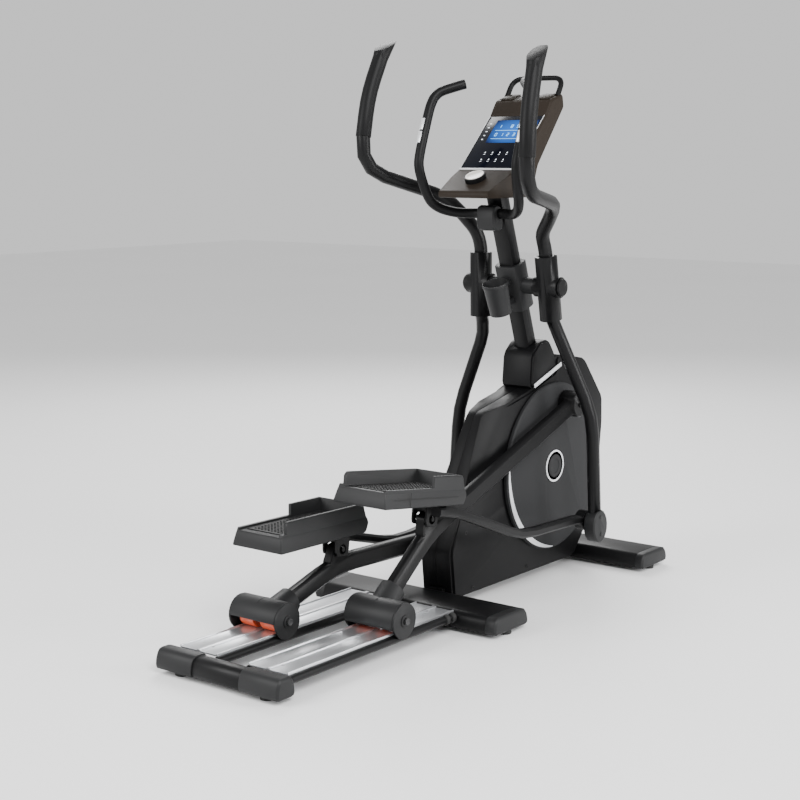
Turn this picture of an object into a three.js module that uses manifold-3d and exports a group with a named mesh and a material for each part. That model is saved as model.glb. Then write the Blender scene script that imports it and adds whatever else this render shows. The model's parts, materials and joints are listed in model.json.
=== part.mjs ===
// Front-drive elliptical trainer, in millimetres: +X is the way the user faces, +Y the user's left, +Z up.
// The origin lies on the floor, on the centre plane, halfway along the machine.
import * as THREE from "three";
import { mergeVertices } from "three/addons/utils/BufferGeometryUtils.js";
import Module from "manifold-3d";

const wasm = await Module();
wasm.setup();

// ---- Driving dimensions -------------------------------------------------------------------------

const GAP = 0.3; // between pieces that touch
const RUN = 0.5; // round a shaft that turns in its bore

const LENGTH = 1850;
const FLOOR_CLEARANCE = 12; // under every stabilizer, the height of its feet

const REAR = { depth: 70, width: 440, height: 69, cap: 135 };
const MID = { rear: -144, depth: 171, width: 676, height: 63, cap: 38 };
const FRONT = { depth: 166, width: 604, height: 62, cap: 30 };
const FOOT_RADIUS = 18;
const SHEET = 3; // wall of the stabilizers' cross tubes

const RAIL = { inner: 44, outer: 205, tube: 12, wall: 2, height: 47.4, plate: 4, lip: 4, rib: 12 };
const ROLLER = { radius: 34, width: 50, apart: 26, hub: 14, axle: 7 };

const CRANK = { x: 569, z: 364, radius: 207, lead: THREE.MathUtils.degToRad(14), axle: 12 };
const DISC = { radius: 272, thickness: 14, inner: 64, hub: 52 };
const PIN_RADIUS = 9;

const ARM = { length: 1120, plane: 112, width: 36, height: 55, wall: 3, socket: 56, bend: 300, rise: 72 };
const ARM_PIVOT = { along: 300, up: 120, pin: 7, play: 8 };
const HOUSING = { radius: 42, inner: 82, outer: 140, wall: 8, play: 18 };
const CARRIAGE = { radius: 52, wall: 4, plate: 6, sleeve: 38, sleeveEnd: 95 };

const SWING = { x: 438, z: 955, axle: 12, sleeve: 35, plane: 127, boss: 33 };
const LEVER = { tube: 21.5, wall: 2.5, bend: 95, lower: 20.5, plane: 235, drop: 760, lead: 72 };
const GRIP = { foam: 2.7, flare: 10, length: 78, past: 14, slant: 0.5 };
const BEARING = { eye: 32, width: 84, height: 106, outer: 258, pin: 10 };
const LINK = { length: 750, plane: 193, width: 28, height: 34 };
const FOOTPLATE = {
  rear: -326, front: 59, inner: 40, width: 168, tread: 45, wall: 84, flare: 8, tilt: 2.4, rise: 50,
};

const MAST = { lean: THREE.MathUtils.degToRad(19.42), width: 60, depth: 50, wall: 3, below: 268, above: 322 };
const COLLAR = { width: 84, depth: 76, height: 150 };
const CUP = { radius: 41, foot: 34, height: 103, wall: 3, behind: 97, rim: 48, bridge: 18 };
const BAR = { tube: 16, x: 308, z: 1182 };
const CONSOLE = { width: 214, ledgeWidth: 180, screenWidth: 196, glass: 3 };
const LOOP = { radius: 9 };
const KNOB = { radius: 33, height: 16 };

const SHROUD = { half: 60, wall: 3, bevel: 8, neck: 57, toe: 757 };
const BEAM = { width: 50, bottom: 20, top: 62 };
const PULLEY = { radius: 118, y: 31, width: 14 };
const FLYWHEEL = { x: 770, z: 300, radius: 92, width: 22, y: -52, sheave: 20, axle: 8 };

// ---- Solids -------------------------------------------------------------------------------------

/** A closed geometry as a solid for joining and cutting, with its faces turned outwards. */
function solid(geometry) {
  const bare = (geometry.index ? geometry.toNonIndexed() : geometry.clone());
  bare.deleteAttribute("normal");
  bare.deleteAttribute("uv");
  const merged = mergeVertices(bare, 1e-3);
  const vertProperties = merged.attributes.position.array;
  const triVerts = new Uint32Array(merged.index.array);
  const made = new wasm.Manifold(new wasm.Mesh({ numProp: 3, vertProperties, triVerts }));
  if (made.volume() > 0) return made;
  for (let i = 0; i < triVerts.length; i += 3) {
    [triVerts[i + 1], triVerts[i + 2]] = [triVerts[i + 2], triVerts[i + 1]];
  }
  return new wasm.Manifold(new wasm.Mesh({ numProp: 3, vertProperties, triVerts }));
}

/** The geometry of a solid. */
function geometryOf(body) {
  const mesh = body.simplify(0.02).getMesh();
  const geometry = new THREE.BufferGeometry();
  geometry.setAttribute("position", new THREE.BufferAttribute(mesh.vertProperties, 3));
  geometry.setIndex(new THREE.BufferAttribute(mesh.triVerts, 1));
  geometry.computeVertexNormals();
  return geometry;
}

const join = (first, ...others) =>
  geometryOf(others.reduce((sum, other) => sum.add(solid(other)), solid(first)));
const cut = (first, ...tools) =>
  geometryOf(tools.reduce((left, tool) => left.subtract(solid(tool)), solid(first)));

/** A block between two corners. */
function block(x0, x1, y0, y1, z0, z1) {
  const size = [Math.abs(x1 - x0), Math.abs(y1 - y0), Math.abs(z1 - z0)];
  return new THREE.BoxGeometry(...size).translate((x0 + x1) / 2, (y0 + y1) / 2, (z0 + z1) / 2);
}

/** A round bar across the machine, along Y. */
function crossRod(radius, y0, y1, x = 0, z = 0, sides = 16) {
  const rod = new THREE.CylinderGeometry(radius, radius, Math.abs(y1 - y0), sides);
  return rod.translate(x, (y0 + y1) / 2, z);
}

/** An upright round bar, along Z. */
function post(radius, z0, z1, x = 0, y = 0, sides = 16) {
  const rod = new THREE.CylinderGeometry(radius, radius, z1 - z0, sides);
  return rod.rotateX(Math.PI / 2).translate(x, y, (z0 + z1) / 2);
}

/** A profile of [radius, distance] points turned about the Y axis and moved to x, z. */
function turned(profile, x = 0, z = 0, sides = 48) {
  const points = profile.map(([radius, along]) => new THREE.Vector2(radius, along));
  return new THREE.LatheGeometry(points, sides).translate(x, 0, z);
}

/** A flat outline of [x, z] points with its corners rounded. */
function rounded(points, radius) {
  const corners = points.map(([x, z]) => new THREE.Vector2(x, z));
  const shape = new THREE.Shape();
  corners.forEach((corner, i) => {
    const before = corners[(i + corners.length - 1) % corners.length];
    const after = corners[(i + 1) % corners.length];
    const inward = before.clone().sub(corner);
    const outward = after.clone().sub(corner);
    const reach = Math.min(radius, inward.length() * 0.45, outward.length() * 0.45);
    const start = corner.clone().add(inward.setLength(reach));
    const end = corner.clone().add(outward.setLength(reach));
    if (i === 0) shape.moveTo(start.x, start.y);
    else shape.lineTo(start.x, start.y);
    shape.quadraticCurveTo(corner.x, corner.y, end.x, end.y);
  });
  return shape;
}

/** An outline in the XZ plane made a slab from y0 to y1, with both rims bevelled if asked. */
function slab(shape, y0, y1, { bevel = 0, curve = 2 } = {}) {
  const low = Math.min(y0, y1);
  const high = Math.max(y0, y1);
  const made = new THREE.ExtrudeGeometry(shape, {
    depth: high - low - 2 * bevel,
    curveSegments: curve,
    bevelEnabled: bevel > 0,
    bevelThickness: bevel,
    bevelSize: bevel,
    bevelOffset: -bevel,
    bevelSegments: 1,
  });
  return made.rotateX(Math.PI / 2).translate(0, high - bevel, 0);
}

/** A path that passes through chosen samples, with the tangent of its chord at each. */
class SampledPath extends THREE.Curve {
  constructor(samples) {
    super();
    this.samples = samples;
  }
  getPoint(t) {
    return this.samples[Math.round(t * (this.samples.length - 1))].clone();
  }
  getPointAt(t) {
    return this.getPoint(t);
  }
  getTangentAt(t) {
    const i = Math.round(t * (this.samples.length - 1));
    const before = this.samples[Math.max(i - 1, 0)];
    const here = this.samples[i];
    const after = this.samples[Math.min(i + 1, this.samples.length - 1)];
    const into = here.clone().sub(before).normalize();
    const out = after.clone().sub(here).normalize();
    return into.add(out).normalize();
  }
}

/** Samples along straight runs joined by round bends. */
function bent(points, radius, steps = 2) {
  const knots = points.map((p) => new THREE.Vector3(...p));
  const samples = [knots[0]];
  for (let i = 1; i < knots.length - 1; i++) {
    const before = knots[i - 1].clone().sub(knots[i]);
    const after = knots[i + 1].clone().sub(knots[i]);
    const reach = Math.min(radius, before.length() * 0.48, after.length() * 0.48);
    const from = knots[i].clone().add(before.setLength(reach));
    const to = knots[i].clone().add(after.setLength(reach));
    const bend = new THREE.QuadraticBezierCurve3(from, knots[i], to);
    samples.push(...bend.getPoints(steps));
  }
  samples.push(knots[knots.length - 1]);
  return samples;
}

/** A section swept along samples; its x runs across a flat XZ path and its y within it. */
function swept(shape, samples, curve = 1) {
  const extrudePath = new SampledPath(samples);
  return new THREE.ExtrudeGeometry(shape, {
    steps: samples.length - 1,
    curveSegments: curve,
    extrudePath,
  });
}

/** A regular polygon that stands for a circle of the given radius. */
function circle(radius, sides = 12) {
  const shape = new THREE.Shape();
  for (let i = 0; i < sides; i++) {
    const angle = (i / sides) * 2 * Math.PI;
    const point = [radius * Math.cos(angle), radius * Math.sin(angle)];
    if (i === 0) shape.moveTo(...point);
    else shape.lineTo(...point);
  }
  return shape;
}

/** A rectangle about the origin with rounded corners. */
function rectangle(width, height, corner) {
  const [w, h] = [width / 2, height / 2];
  return rounded([[-w, -h], [w, -h], [w, h], [-w, h]], corner);
}

const tube = (samples, radius, sides = 10) => swept(circle(radius, sides), samples);
const mirrorY = (points) => points.map(([x, y, z]) => [x, -y, z]);

// ---- Materials and the model ----------------------------------------------------------------------

const finish = (color, roughness, metalness = 0) =>
  new THREE.MeshStandardMaterial({ color, roughness, metalness });
const BLACK_STEEL = finish(0x202123, 0.4, 0.3);
const CHARCOAL = finish(0x4a4a4c, 0.5);
const SHELL_BLACK = finish(0x232426, 0.45);
const DISC_GREY = finish(0x3c3d40, 0.5);
const ALUMINIUM = finish(0xc9cacc, 0.35, 0.9);
const RUBBER = finish(0x161616, 0.85);
const FOAM = finish(0x2b2c2e, 0.75);
const ORANGE = finish(0xd9502a, 0.5);
const BRONZE = finish(0x4a4238, 0.4, 0.3);
const GLASS = finish(0x10131c, 0.1);
const CREAM = finish(0xd8d3c8, 0.35);
const CAST_IRON = finish(0x55565a, 0.6, 0.8);

const model = new THREE.Group();

/** Adds a named piece to the model, or to the group that places it. */
function piece(name, geometry, material, parent = model) {
  const mesh = new THREE.Mesh(geometry, material.clone());
  mesh.name = name;
  parent.add(mesh);
  return mesh;
}

const SIDES = [
  { name: "left", s: 1 },
  { name: "right", s: -1 },
];

// ---- Linkage at rest --------------------------------------------------------------------------------

const REAR_END = -LENGTH / 2;
const FRONT_END = LENGTH / 2;
const RAIL_START = REAR_END + REAR.depth + GAP;
const RAIL_END = MID.rear - GAP;
const PLATE_TOP = RAIL.height + RAIL.tube + GAP + RAIL.plate;
const AXLE_HEIGHT = PLATE_TOP + GAP + ROLLER.radius;
const RAIL_MIDDLE = (RAIL.inner + RAIL.outer) / 2;

/** Where each hinge of one side stands: pins, axles and the pitch of each bar. */
function linkage(s) {
  const turn = s < 0 ? CRANK.lead : CRANK.lead + Math.PI;
  const pin = {
    x: CRANK.x + CRANK.radius * Math.sin(turn),
    z: CRANK.z + CRANK.radius * Math.cos(turn),
  };
  const rise = pin.z - AXLE_HEIGHT;
  const rollerX = pin.x - Math.sqrt(ARM.length ** 2 - rise ** 2);
  const armPitch = Math.asin(rise / ARM.length);
  const pivot = {
    x: rollerX + ARM_PIVOT.along * Math.cos(armPitch) - ARM_PIVOT.up * Math.sin(armPitch),
    z: AXLE_HEIGHT + ARM_PIVOT.along * Math.sin(armPitch) + ARM_PIVOT.up * Math.cos(armPitch),
  };
  const reach = Math.hypot(LEVER.lead, LEVER.drop);
  const across = SWING.x - pivot.x;
  const down = pivot.z - SWING.z;
  const span = Math.hypot(across, down);
  const corner = Math.acos((reach ** 2 + span ** 2 - LINK.length ** 2) / (2 * reach * span));
  const bearingAngle = Math.atan2(down, -across) + corner;
  const bearing = {
    x: SWING.x + reach * Math.cos(bearingAngle),
    z: SWING.z + reach * Math.sin(bearingAngle),
  };
  const neutral = Math.atan2(-LEVER.drop, LEVER.lead);
  const leverTurn = neutral - bearingAngle;
  const linkPitch = Math.atan2(bearing.z - pivot.z, bearing.x - pivot.x);
  return { pin, rollerX, armPitch, pivot, bearing, leverTurn, linkPitch };
}

/** A group whose own X axis is pitched up by an angle, standing at x, z. */
function pitched(x, z, pitch) {
  const group = new THREE.Group();
  group.position.set(x, 0, z);
  group.rotation.y = -pitch;
  model.add(group);
  return group;
}

// ---- Base: stabilizers, feet and rails -----------------------------------------------------------------

/** The outline of a stabilizer's section, with its top edges rounded over. */
function stabilizerSection(rear, depth, height, slope, bottom = FLOOR_CLEARANCE) {
  const front = rear + depth;
  const shoulder = (FLOOR_CLEARANCE + height) / 2;
  return rounded(
    [
      [rear, bottom], [front, bottom], [front, shoulder], [front - slope, height],
      [rear + slope, height], [rear, shoulder],
    ],
    12,
  );
}

/** One stabilizer: an open cross tube between two end caps, with a foot under each cap. */
function stabilizer(name, rear, { depth, width, height, cap }, { slope, inset }) {
  const half = width / 2;
  const seam = half - cap;
  const core = stabilizerSection(rear + inset, depth - 2 * inset, height - inset, slope);
  const skin = inset + SHEET;
  const bore = stabilizerSection(
    rear + skin, depth - 2 * skin, height - skin, slope, FLOOR_CLEARANCE + SHEET,
  );
  piece(
    name + "_stabilizer",
    cut(slab(core, -seam + GAP, seam - GAP), slab(bore, -seam, seam)),
    BLACK_STEEL,
  );
  for (const { name: side, s } of SIDES) {
    const section = stabilizerSection(rear, depth, height, slope);
    const bevel = 6;
    const shell = slab(section, s * (seam - bevel), s * half, { bevel });
    const trim = block(rear - 1, rear + depth + 1, s * (seam - 2 * bevel), s * seam, 0, height + 1);
    piece(name + "_cap_" + side, cut(shell, trim), CHARCOAL);
    const footY = s * (half - Math.max(cap / 2, FOOT_RADIUS + bevel));
    const footX = rear + depth / 2;
    piece(
      name + "_foot_" + side,
      post(FOOT_RADIUS, 0, FLOOR_CLEARANCE - GAP, footX, footY, 20),
      RUBBER,
    );
  }
}

stabilizer("rear", REAR_END, REAR, { slope: 12, inset: 3 });
stabilizer("mid", MID.rear, MID, { slope: 14, inset: 0 });
stabilizer("front", FRONT_END - FRONT.depth, FRONT, { slope: 14, inset: 0 });

/** The aluminium track of one rail, with a rib between the rollers and a lip along each edge. */
function railTrack(s) {
  const low = PLATE_TOP - RAIL.plate;
  const edges = [RAIL.inner + RAIL.tube, RAIL.outer - RAIL.tube];
  const strip = (from, to, bottom, top) => block(RAIL_START, RAIL_END, s * from, s * to, bottom, top);
  const top = PLATE_TOP + RAIL.lip;
  return join(
    strip(edges[0], edges[1], low, PLATE_TOP),
    strip(edges[0], edges[0] + RAIL.lip, low + 1, top),
    strip(RAIL_MIDDLE - RAIL.rib / 2, RAIL_MIDDLE + RAIL.rib / 2, low + 1, top),
    strip(edges[1] - RAIL.lip, edges[1], low + 1, top),
  );
}

/** The two steel tubes under one track, tied by cross plates. */
function railTubes(s) {
  const axes = [RAIL.inner + RAIL.tube, RAIL.outer - RAIL.tube];
  const run = (y, radius, past) => {
    const line = [[RAIL_START - past, s * y, RAIL.height], [RAIL_END + past, s * y, RAIL.height]];
    return tube(bent(line, 1), radius, 14);
  };
  const parts = axes.map((y) => run(y, RAIL.tube, 0));
  const ties = 3;
  for (let i = 0; i < ties; i++) {
    const x = RAIL_START + ((i + 0.5) / ties) * (RAIL_END - RAIL_START);
    parts.push(block(x - 20, x + 20, s * axes[0], s * axes[1], RAIL.height - 8, RAIL.height + 2));
  }
  return cut(join(...parts), ...axes.map((y) => run(y, RAIL.tube - RAIL.wall, 1)));
}

for (const { name, s } of SIDES) {
  piece("rail_track_" + name, railTrack(s), ALUMINIUM);
  piece("rail_tubes_" + name, railTubes(s), BLACK_STEEL);
}

// ---- Main frame, mast and swing axle ----------------------------------------------------------------------

const BEAM_START = MID.rear + MID.depth + GAP;
const BEAM_END = FRONT_END - FRONT.depth - GAP;
const MAST_FOOT = {
  x: SWING.x + MAST.below * Math.sin(MAST.lean),
  z: SWING.z - MAST.below * Math.cos(MAST.lean),
};

/** The welded frame inside the casing: base beam, leaning upright, crank and flywheel bearings. */
function mainFrame() {
  const half = BEAM.width / 2;
  const beam = block(BEAM_START, BEAM_END, -half, half, BEAM.bottom, BEAM.top);
  const footX = MAST_FOOT.x + (MAST_FOOT.z - BEAM.top) * Math.tan(MAST.lean);
  const up = MAST.depth / 2 / Math.cos(MAST.lean);
  const top = MAST_FOOT.z - 12;
  const topX = MAST_FOOT.x + 12 * Math.tan(MAST.lean);
  const low = BEAM.top - 6;
  const upright = slab(
    rounded([[footX - up, low], [footX + up, low], [topX + up, top], [topX - up, top]], 1),
    -half + 5,
    half - 5,
  );
  const crankPost = block(CRANK.x - 22, CRANK.x + 22, -20, 20, low, CRANK.z);
  const crankShell = crossRod(30, -half, half, CRANK.x, CRANK.z);
  const wheelPost = block(FLYWHEEL.x - 14, FLYWHEEL.x + 14, -12, 12, 120, FLYWHEEL.z);
  const wheelShell = crossRod(20, -16, 16, FLYWHEEL.x, FLYWHEEL.z);
  const strut = block(footX - 40, FLYWHEEL.x + 14, -12, 12, 110, 140);
  return cut(
    join(beam, upright, crankPost, crankShell, wheelPost, wheelShell, strut),
    block(BEAM_END, BEAM_END + 100, -BEAM.width, BEAM.width, 0, BEAM.top),
    block(SHROUD.toe - 2 * SHROUD.wall, SHROUD.toe + 100, -BEAM.width, BEAM.width, BEAM.top, 104),
    crossRod(CRANK.axle + RUN, -half - 1, half + 1, CRANK.x, CRANK.z),
    crossRod(FLYWHEEL.axle + RUN, -half, half, FLYWHEEL.x, FLYWHEEL.z),
  );
}

piece("main_frame", mainFrame(), BLACK_STEEL);

const mastGroup = new THREE.Group();
mastGroup.position.set(SWING.x, 0, SWING.z);
mastGroup.rotation.y = -MAST.lean;
model.add(mastGroup);

/** A rectangular tube standing on the mast's own axis. */
function mastBox(depth, width, corner, z0, z1) {
  const shape = rectangle(depth, width, corner);
  const made = new THREE.ExtrudeGeometry(shape, { depth: z1 - z0, bevelEnabled: false, curveSegments: 2 });
  return made.translate(0, 0, z0);
}

const AXLE_BORE = crossRod(SWING.axle + GAP, -COLLAR.width, COLLAR.width);
const mastTube = mastBox(MAST.depth, MAST.width, 16, -MAST.below, MAST.above);
const mastBore = mastBox(
  MAST.depth - 2 * MAST.wall, MAST.width - 2 * MAST.wall, 13, -MAST.below - 1, MAST.above + 1,
);
piece("mast", cut(mastTube, mastBore, AXLE_BORE), BLACK_STEEL, mastGroup);

const COLLAR_HALF = COLLAR.height / 2;
const collarFace = SWING.plane - SWING.sleeve - 8;

/** The moulded collar on the mast, with a boss each side and bridges to the bottle cup. */
function mastCollar() {
  const ring = mastBox(COLLAR.depth, COLLAR.width, 22, -COLLAR_HALF, COLLAR_HALF);
  const bosses = crossRod(26, -collarFace, collarFace);
  const opening = mastBox(
    MAST.depth + 2 * GAP, MAST.width + 2 * GAP, 16, -COLLAR_HALF - 1, COLLAR_HALF + 1,
  );
  return cut(join(ring, bosses), opening, AXLE_BORE);
}

/** The bottle cup behind the mast and parallel to it, on two bridges with a window between them. */
function bottleHolder() {
  const { radius, foot, height, wall, behind, rim, bridge } = CUP;
  const floor = rim - height;
  const along = (profile) => turned(profile, 0, 0, 24).rotateX(Math.PI / 2).translate(-behind, 0, 0);
  const cup = along([
    [0, floor], [foot, floor], [radius - 2, rim - 12], [radius, rim - 9], [radius, rim], [0, rim],
  ]);
  const hollow = along([
    [0, floor + wall], [foot - wall, floor + wall], [radius - wall, rim], [radius - wall, rim + 60],
    [0, rim + 60],
  ]);
  const back = COLLAR.depth / 2 + GAP;
  const bridges = [rim - 26, floor + 12].map((z) =>
    block(foot - 10 - behind, -back, -bridge, bridge, z, z + bridge));
  return cut(join(cup, ...bridges), hollow);
}

piece("mast_collar", mastCollar(), CHARCOAL, mastGroup);
piece("bottle_holder", bottleHolder(), CHARCOAL, mastGroup);

const BOSS_END = SWING.plane + SWING.sleeve + 10;
const axleHead = [
  [0, BOSS_END + GAP], [25, BOSS_END + GAP], [28, BOSS_END + 4], [26, BOSS_END + 9], [0, BOSS_END + 12],
];
piece(
  "swing_axle",
  join(
    crossRod(SWING.axle, -BOSS_END - 2, BOSS_END + 2, SWING.x, SWING.z),
    turned(axleHead, SWING.x, SWING.z, 20),
    turned(axleHead.map(([r, y]) => [r, -y]), SWING.x, SWING.z, 20),
  ),
  BLACK_STEEL,
);

// ---- Fixed handlebar and its clamp ------------------------------------------------------------------------

const barSide = [[0, 66, 0], [-38, 112, 0], [-93, 165, 25], [-140, 180, 147], [-74, 180, 329],
  [-52, 170, 368], [11, 110, 393]].map(([x, y, z]) => [BAR.x + x, y, BAR.z + z]);
const barPath = bent([...barSide.toReversed(), ...mirrorY(barSide)], 32);
piece("fixed_handlebar", tube(barPath, BAR.tube, 12), FOAM);

const clampFront = SWING.x - (BAR.z - SWING.z) * Math.tan(MAST.lean) - MAST.depth / 2;
const clampShape = rounded(
  [
    [BAR.x - 36, BAR.z - 52], [clampFront - 2, BAR.z - 52], [clampFront - 16, BAR.z + 26],
    [BAR.x - 36, BAR.z + 26],
  ],
  24,
);
piece(
  "handlebar_clamp",
  cut(
    slab(clampShape, -32, 32, { bevel: 4 }),
    crossRod(BAR.tube + GAP, -33, 33, BAR.x, BAR.z),
    mastBox(MAST.depth + 2 * GAP, MAST.width + 2 * GAP, 16, -MAST.below, MAST.above)
      .rotateY(-MAST.lean).translate(SWING.x, 0, SWING.z),
  ),
  CHARCOAL,
);

// ---- Console ----------------------------------------------------------------------------------------------

const LEDGE = { rear: [155, 1250], front: [281, 1316] };
const SCREEN = { low: [284, 1320], high: [442, 1478] };
const consoleOutline = rounded(
  [
    [157, 1232], LEDGE.rear, LEDGE.front, [446, 1482], [476, 1528], [540, 1548],
    [548, 1506], [404, 1326], [372, 1232],
  ],
  9,
);

/** A slab laid on the line between two [x, z] points, sunk into it, with some room round its rim. */
function laidOn(low, high, width, above, below, room = 0) {
  const dx = high[0] - low[0];
  const dz = high[1] - low[1];
  const side = width / 2 + room;
  return block(-room, Math.hypot(dx, dz) + room, -side, side, -below - room, above)
    .rotateY(-Math.atan2(dz, dx))
    .translate(low[0], 0, low[1]);
}

/** The loop handle on the console's back edge; grown, it is the tool for its two sockets. */
function loopHandle(grow = 0) {
  const sink = grow > 0 ? 0.6 : 0;
  const side = [[525 - sink, 94, 1540 - sink], [551, 94, 1582], [560, 74, 1598]];
  return tube(bent([...side, ...mirrorY(side).toReversed()], 20), LOOP.radius + grow, 10);
}

/** The console housing, its ledge narrowed towards the user and the screen's seat sunk in. */
function consoleBody() {
  const half = CONSOLE.width / 2;
  const body = slab(consoleOutline, -half, half, { bevel: 6 });
  const seat = laidOn(SCREEN.low, SCREEN.high, CONSOLE.screenWidth, 9, CONSOLE.glass, GAP);
  const corners = [1, -1].map((s) => {
    const outline = new THREE.Shape([
      new THREE.Vector2(100, s * CONSOLE.ledgeWidth / 2),
      new THREE.Vector2(LEDGE.rear[0] + 8, s * CONSOLE.ledgeWidth / 2),
      new THREE.Vector2(LEDGE.front[0], s * (half + 1)),
      new THREE.Vector2(100, s * (half + 1)),
    ]);
    return new THREE.ExtrudeGeometry(outline, { depth: 120, bevelEnabled: false }).translate(0, 0, 1215);
  });
  const socket = mastBox(
    MAST.depth + 2 * GAP, MAST.width + 2 * GAP, 16, -MAST.below, MAST.above + GAP,
  ).rotateY(-MAST.lean).translate(SWING.x, 0, SWING.z);
  return cut(body, seat, loopHandle(GAP + 0.1), socket, ...corners);
}

piece("console_body", consoleBody(), BRONZE);
const glass = laidOn(SCREEN.low, SCREEN.high, CONSOLE.screenWidth, 0, CONSOLE.glass);
piece("console_screen", glass, GLASS);

const ledgePitch = Math.atan2(LEDGE.front[1] - LEDGE.rear[1], LEDGE.front[0] - LEDGE.rear[0]);
const knobProfile = [
  [0, GAP], [KNOB.radius - 3, GAP], [KNOB.radius, 3], [KNOB.radius, KNOB.height - 3],
  [KNOB.radius - 3, KNOB.height], [0, KNOB.height],
];
const knobGroup = pitched(
  (LEDGE.rear[0] + LEDGE.front[0]) / 2 + 6, (LEDGE.rear[1] + LEDGE.front[1]) / 2 + 3.2, ledgePitch,
);
piece("console_knob", turned(knobProfile, 0, 0, 24).rotateX(Math.PI / 2), CREAM, knobGroup);

piece("console_handle", loopHandle(), SHELL_BLACK);

// ---- Casing -----------------------------------------------------------------------------------------------

const SPLIT = { rear: [450, 621], front: [598, 669] };
const casingOutline = [
  [42, 30], [725, 30], [SHROUD.toe, 66], [869, 195], [898, 468], [895, 555], [780, 693], [711, 706],
  [SPLIT.front[0], 724], SPLIT.front, SPLIT.rear, [228, 574], [165, 457], [25, 180], [38, 66],
];
const neckOutline = [
  [SPLIT.rear[0] + 2, SPLIT.rear[1] + 1.3], [SPLIT.front[0] - GAP, SPLIT.front[1] + GAP],
  [SPLIT.front[0] - GAP, 722], [560, 775], [505, 772], [462, 734],
];

/** An outline drawn in by a wall, each corner along its mitre. */
function drawnIn(points, wall) {
  return points.map(([x, z], i) => {
    const [px, pz] = points[(i + points.length - 1) % points.length];
    const [nx, nz] = points[(i + 1) % points.length];
    const a = new THREE.Vector2(x - px, z - pz).normalize();
    const b = new THREE.Vector2(nx - x, nz - z).normalize();
    const mitre = new THREE.Vector2(-a.y - b.y, a.x + b.x).normalize();
    const scale = wall / Math.max(0.5, mitre.x * -a.y + mitre.y * a.x);
    return [x + mitre.x * scale, z + mitre.y * scale];
  });
}

/** An outline as a slab about the centre plane with both rims stepped in to a chamfer. */
function chamfered(points, half, chamfer, inset = 0) {
  const wide = rounded(drawnIn(points, inset), 12);
  const narrow = rounded(drawnIn(points, inset + chamfer), 10);
  return join(
    slab(wide, -half + chamfer, half - chamfer, { curve: 1 }),
    slab(narrow, -half, half, { curve: 1 }),
  );
}

/** A wedge that thins the casing's rear edge on one side, from the full width to half of it. */
function rearTaper(s, inset) {
  const edge = { x: 166, z: 480 };
  const seam = { x: 257, z: 476 };
  const along = Math.atan2(120, 92);
  const across = (seam.x - edge.x) * Math.sin(along) - (seam.z - edge.z) * Math.cos(along);
  const y = SHROUD.half - inset;
  const edgeY = SHROUD.half / 2 - inset;
  const grow = 3;
  const slope = (y - edgeY) / across;
  const shape = new THREE.Shape([
    new THREE.Vector2(-across * grow, s * (edgeY - slope * across * (grow - 1))),
    new THREE.Vector2(0, s * y),
    new THREE.Vector2(40, s * (y + slope * 40)),
    new THREE.Vector2(40, s * 120),
    new THREE.Vector2(-across * grow, s * 120),
  ]);
  return new THREE.ExtrudeGeometry(shape, { depth: 1000, bevelEnabled: false })
    .translate(0, 0, -500)
    .rotateY(Math.PI / 2 - along)
    .translate(seam.x, 0, seam.z);
}

/** One half of the hollow casing, open along the centre plane and underneath. */
function casingHalf(s) {
  const { half, wall, bevel } = SHROUD;
  const outer = cut(chamfered(casingOutline, half, bevel), rearTaper(s, 0));
  const inner = cut(chamfered(casingOutline, half - wall, bevel, wall), rearTaper(s, wall));
  const beamSide = BEAM.width / 2 + 3;
  return cut(
    outer,
    inner,
    block(-100, 1000, s * -100, s * GAP, 0, 900),
    block(60, 715, -half + 14, half - 14, 0, 60),
    block(20, 62, -beamSide, beamSide, 0, BEAM.top + 3),
    block(710, 800, -beamSide, beamSide, 0, BEAM.top + 6),
    crossRod(CRANK.axle + 6, -100, 100, CRANK.x, CRANK.z),
    block(475, 588, -48, 48, 600, 700),
  );
}

/** The cover of the mast's foot, open below and round the mast. */
function casingNeck() {
  const outer = chamfered(neckOutline, SHROUD.neck, 6);
  const inner = slab(rounded(drawnIn(neckOutline, 8), 8), -SHROUD.neck + 4, SHROUD.neck - 4);
  const mastHole = mastBox(MAST.depth + 4, MAST.width + 4, 16, -MAST.below - 40, 0)
    .rotateY(-MAST.lean).translate(SWING.x, 0, SWING.z);
  return cut(outer, inner, mastHole, block(475, 588, -48, 48, 600, 690));
}

for (const { name, s } of SIDES) piece("casing_" + name, casingHalf(s), SHELL_BLACK);
piece("casing_neck", casingNeck(), SHELL_BLACK);

// ---- Drive ------------------------------------------------------------------------------------------------

const AXLE_END = DISC.inner - GAP;
piece("crank_axle", crossRod(CRANK.axle, -AXLE_END, AXLE_END, CRANK.x, CRANK.z), CAST_IRON);

/** A grooved wheel across the Y axis with a bore. */
function wheel(radius, bore, y0, y1, x, z) {
  const middle = (y0 + y1) / 2;
  const rim = [
    [bore, y0], [radius, y0], [radius - 4, middle], [radius, y1], [bore, y1], [bore, y0],
  ];
  return turned(rim, x, z, 30);
}

const pulleyEnds = [PULLEY.y, PULLEY.y + PULLEY.width];
piece(
  "drive_pulley",
  wheel(PULLEY.radius, CRANK.axle + GAP, ...pulleyEnds, CRANK.x, CRANK.z),
  CAST_IRON,
);
piece(
  "flywheel",
  join(
    crossRod(FLYWHEEL.axle, FLYWHEEL.y + 4, pulleyEnds[1] + 2, FLYWHEEL.x, FLYWHEEL.z, 20),
    crossRod(FLYWHEEL.radius, FLYWHEEL.y, FLYWHEEL.y + FLYWHEEL.width, FLYWHEEL.x, FLYWHEEL.z, 28),
    crossRod(FLYWHEEL.sheave, ...pulleyEnds, FLYWHEEL.x, FLYWHEEL.z),
  ),
  CAST_IRON,
);

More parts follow.
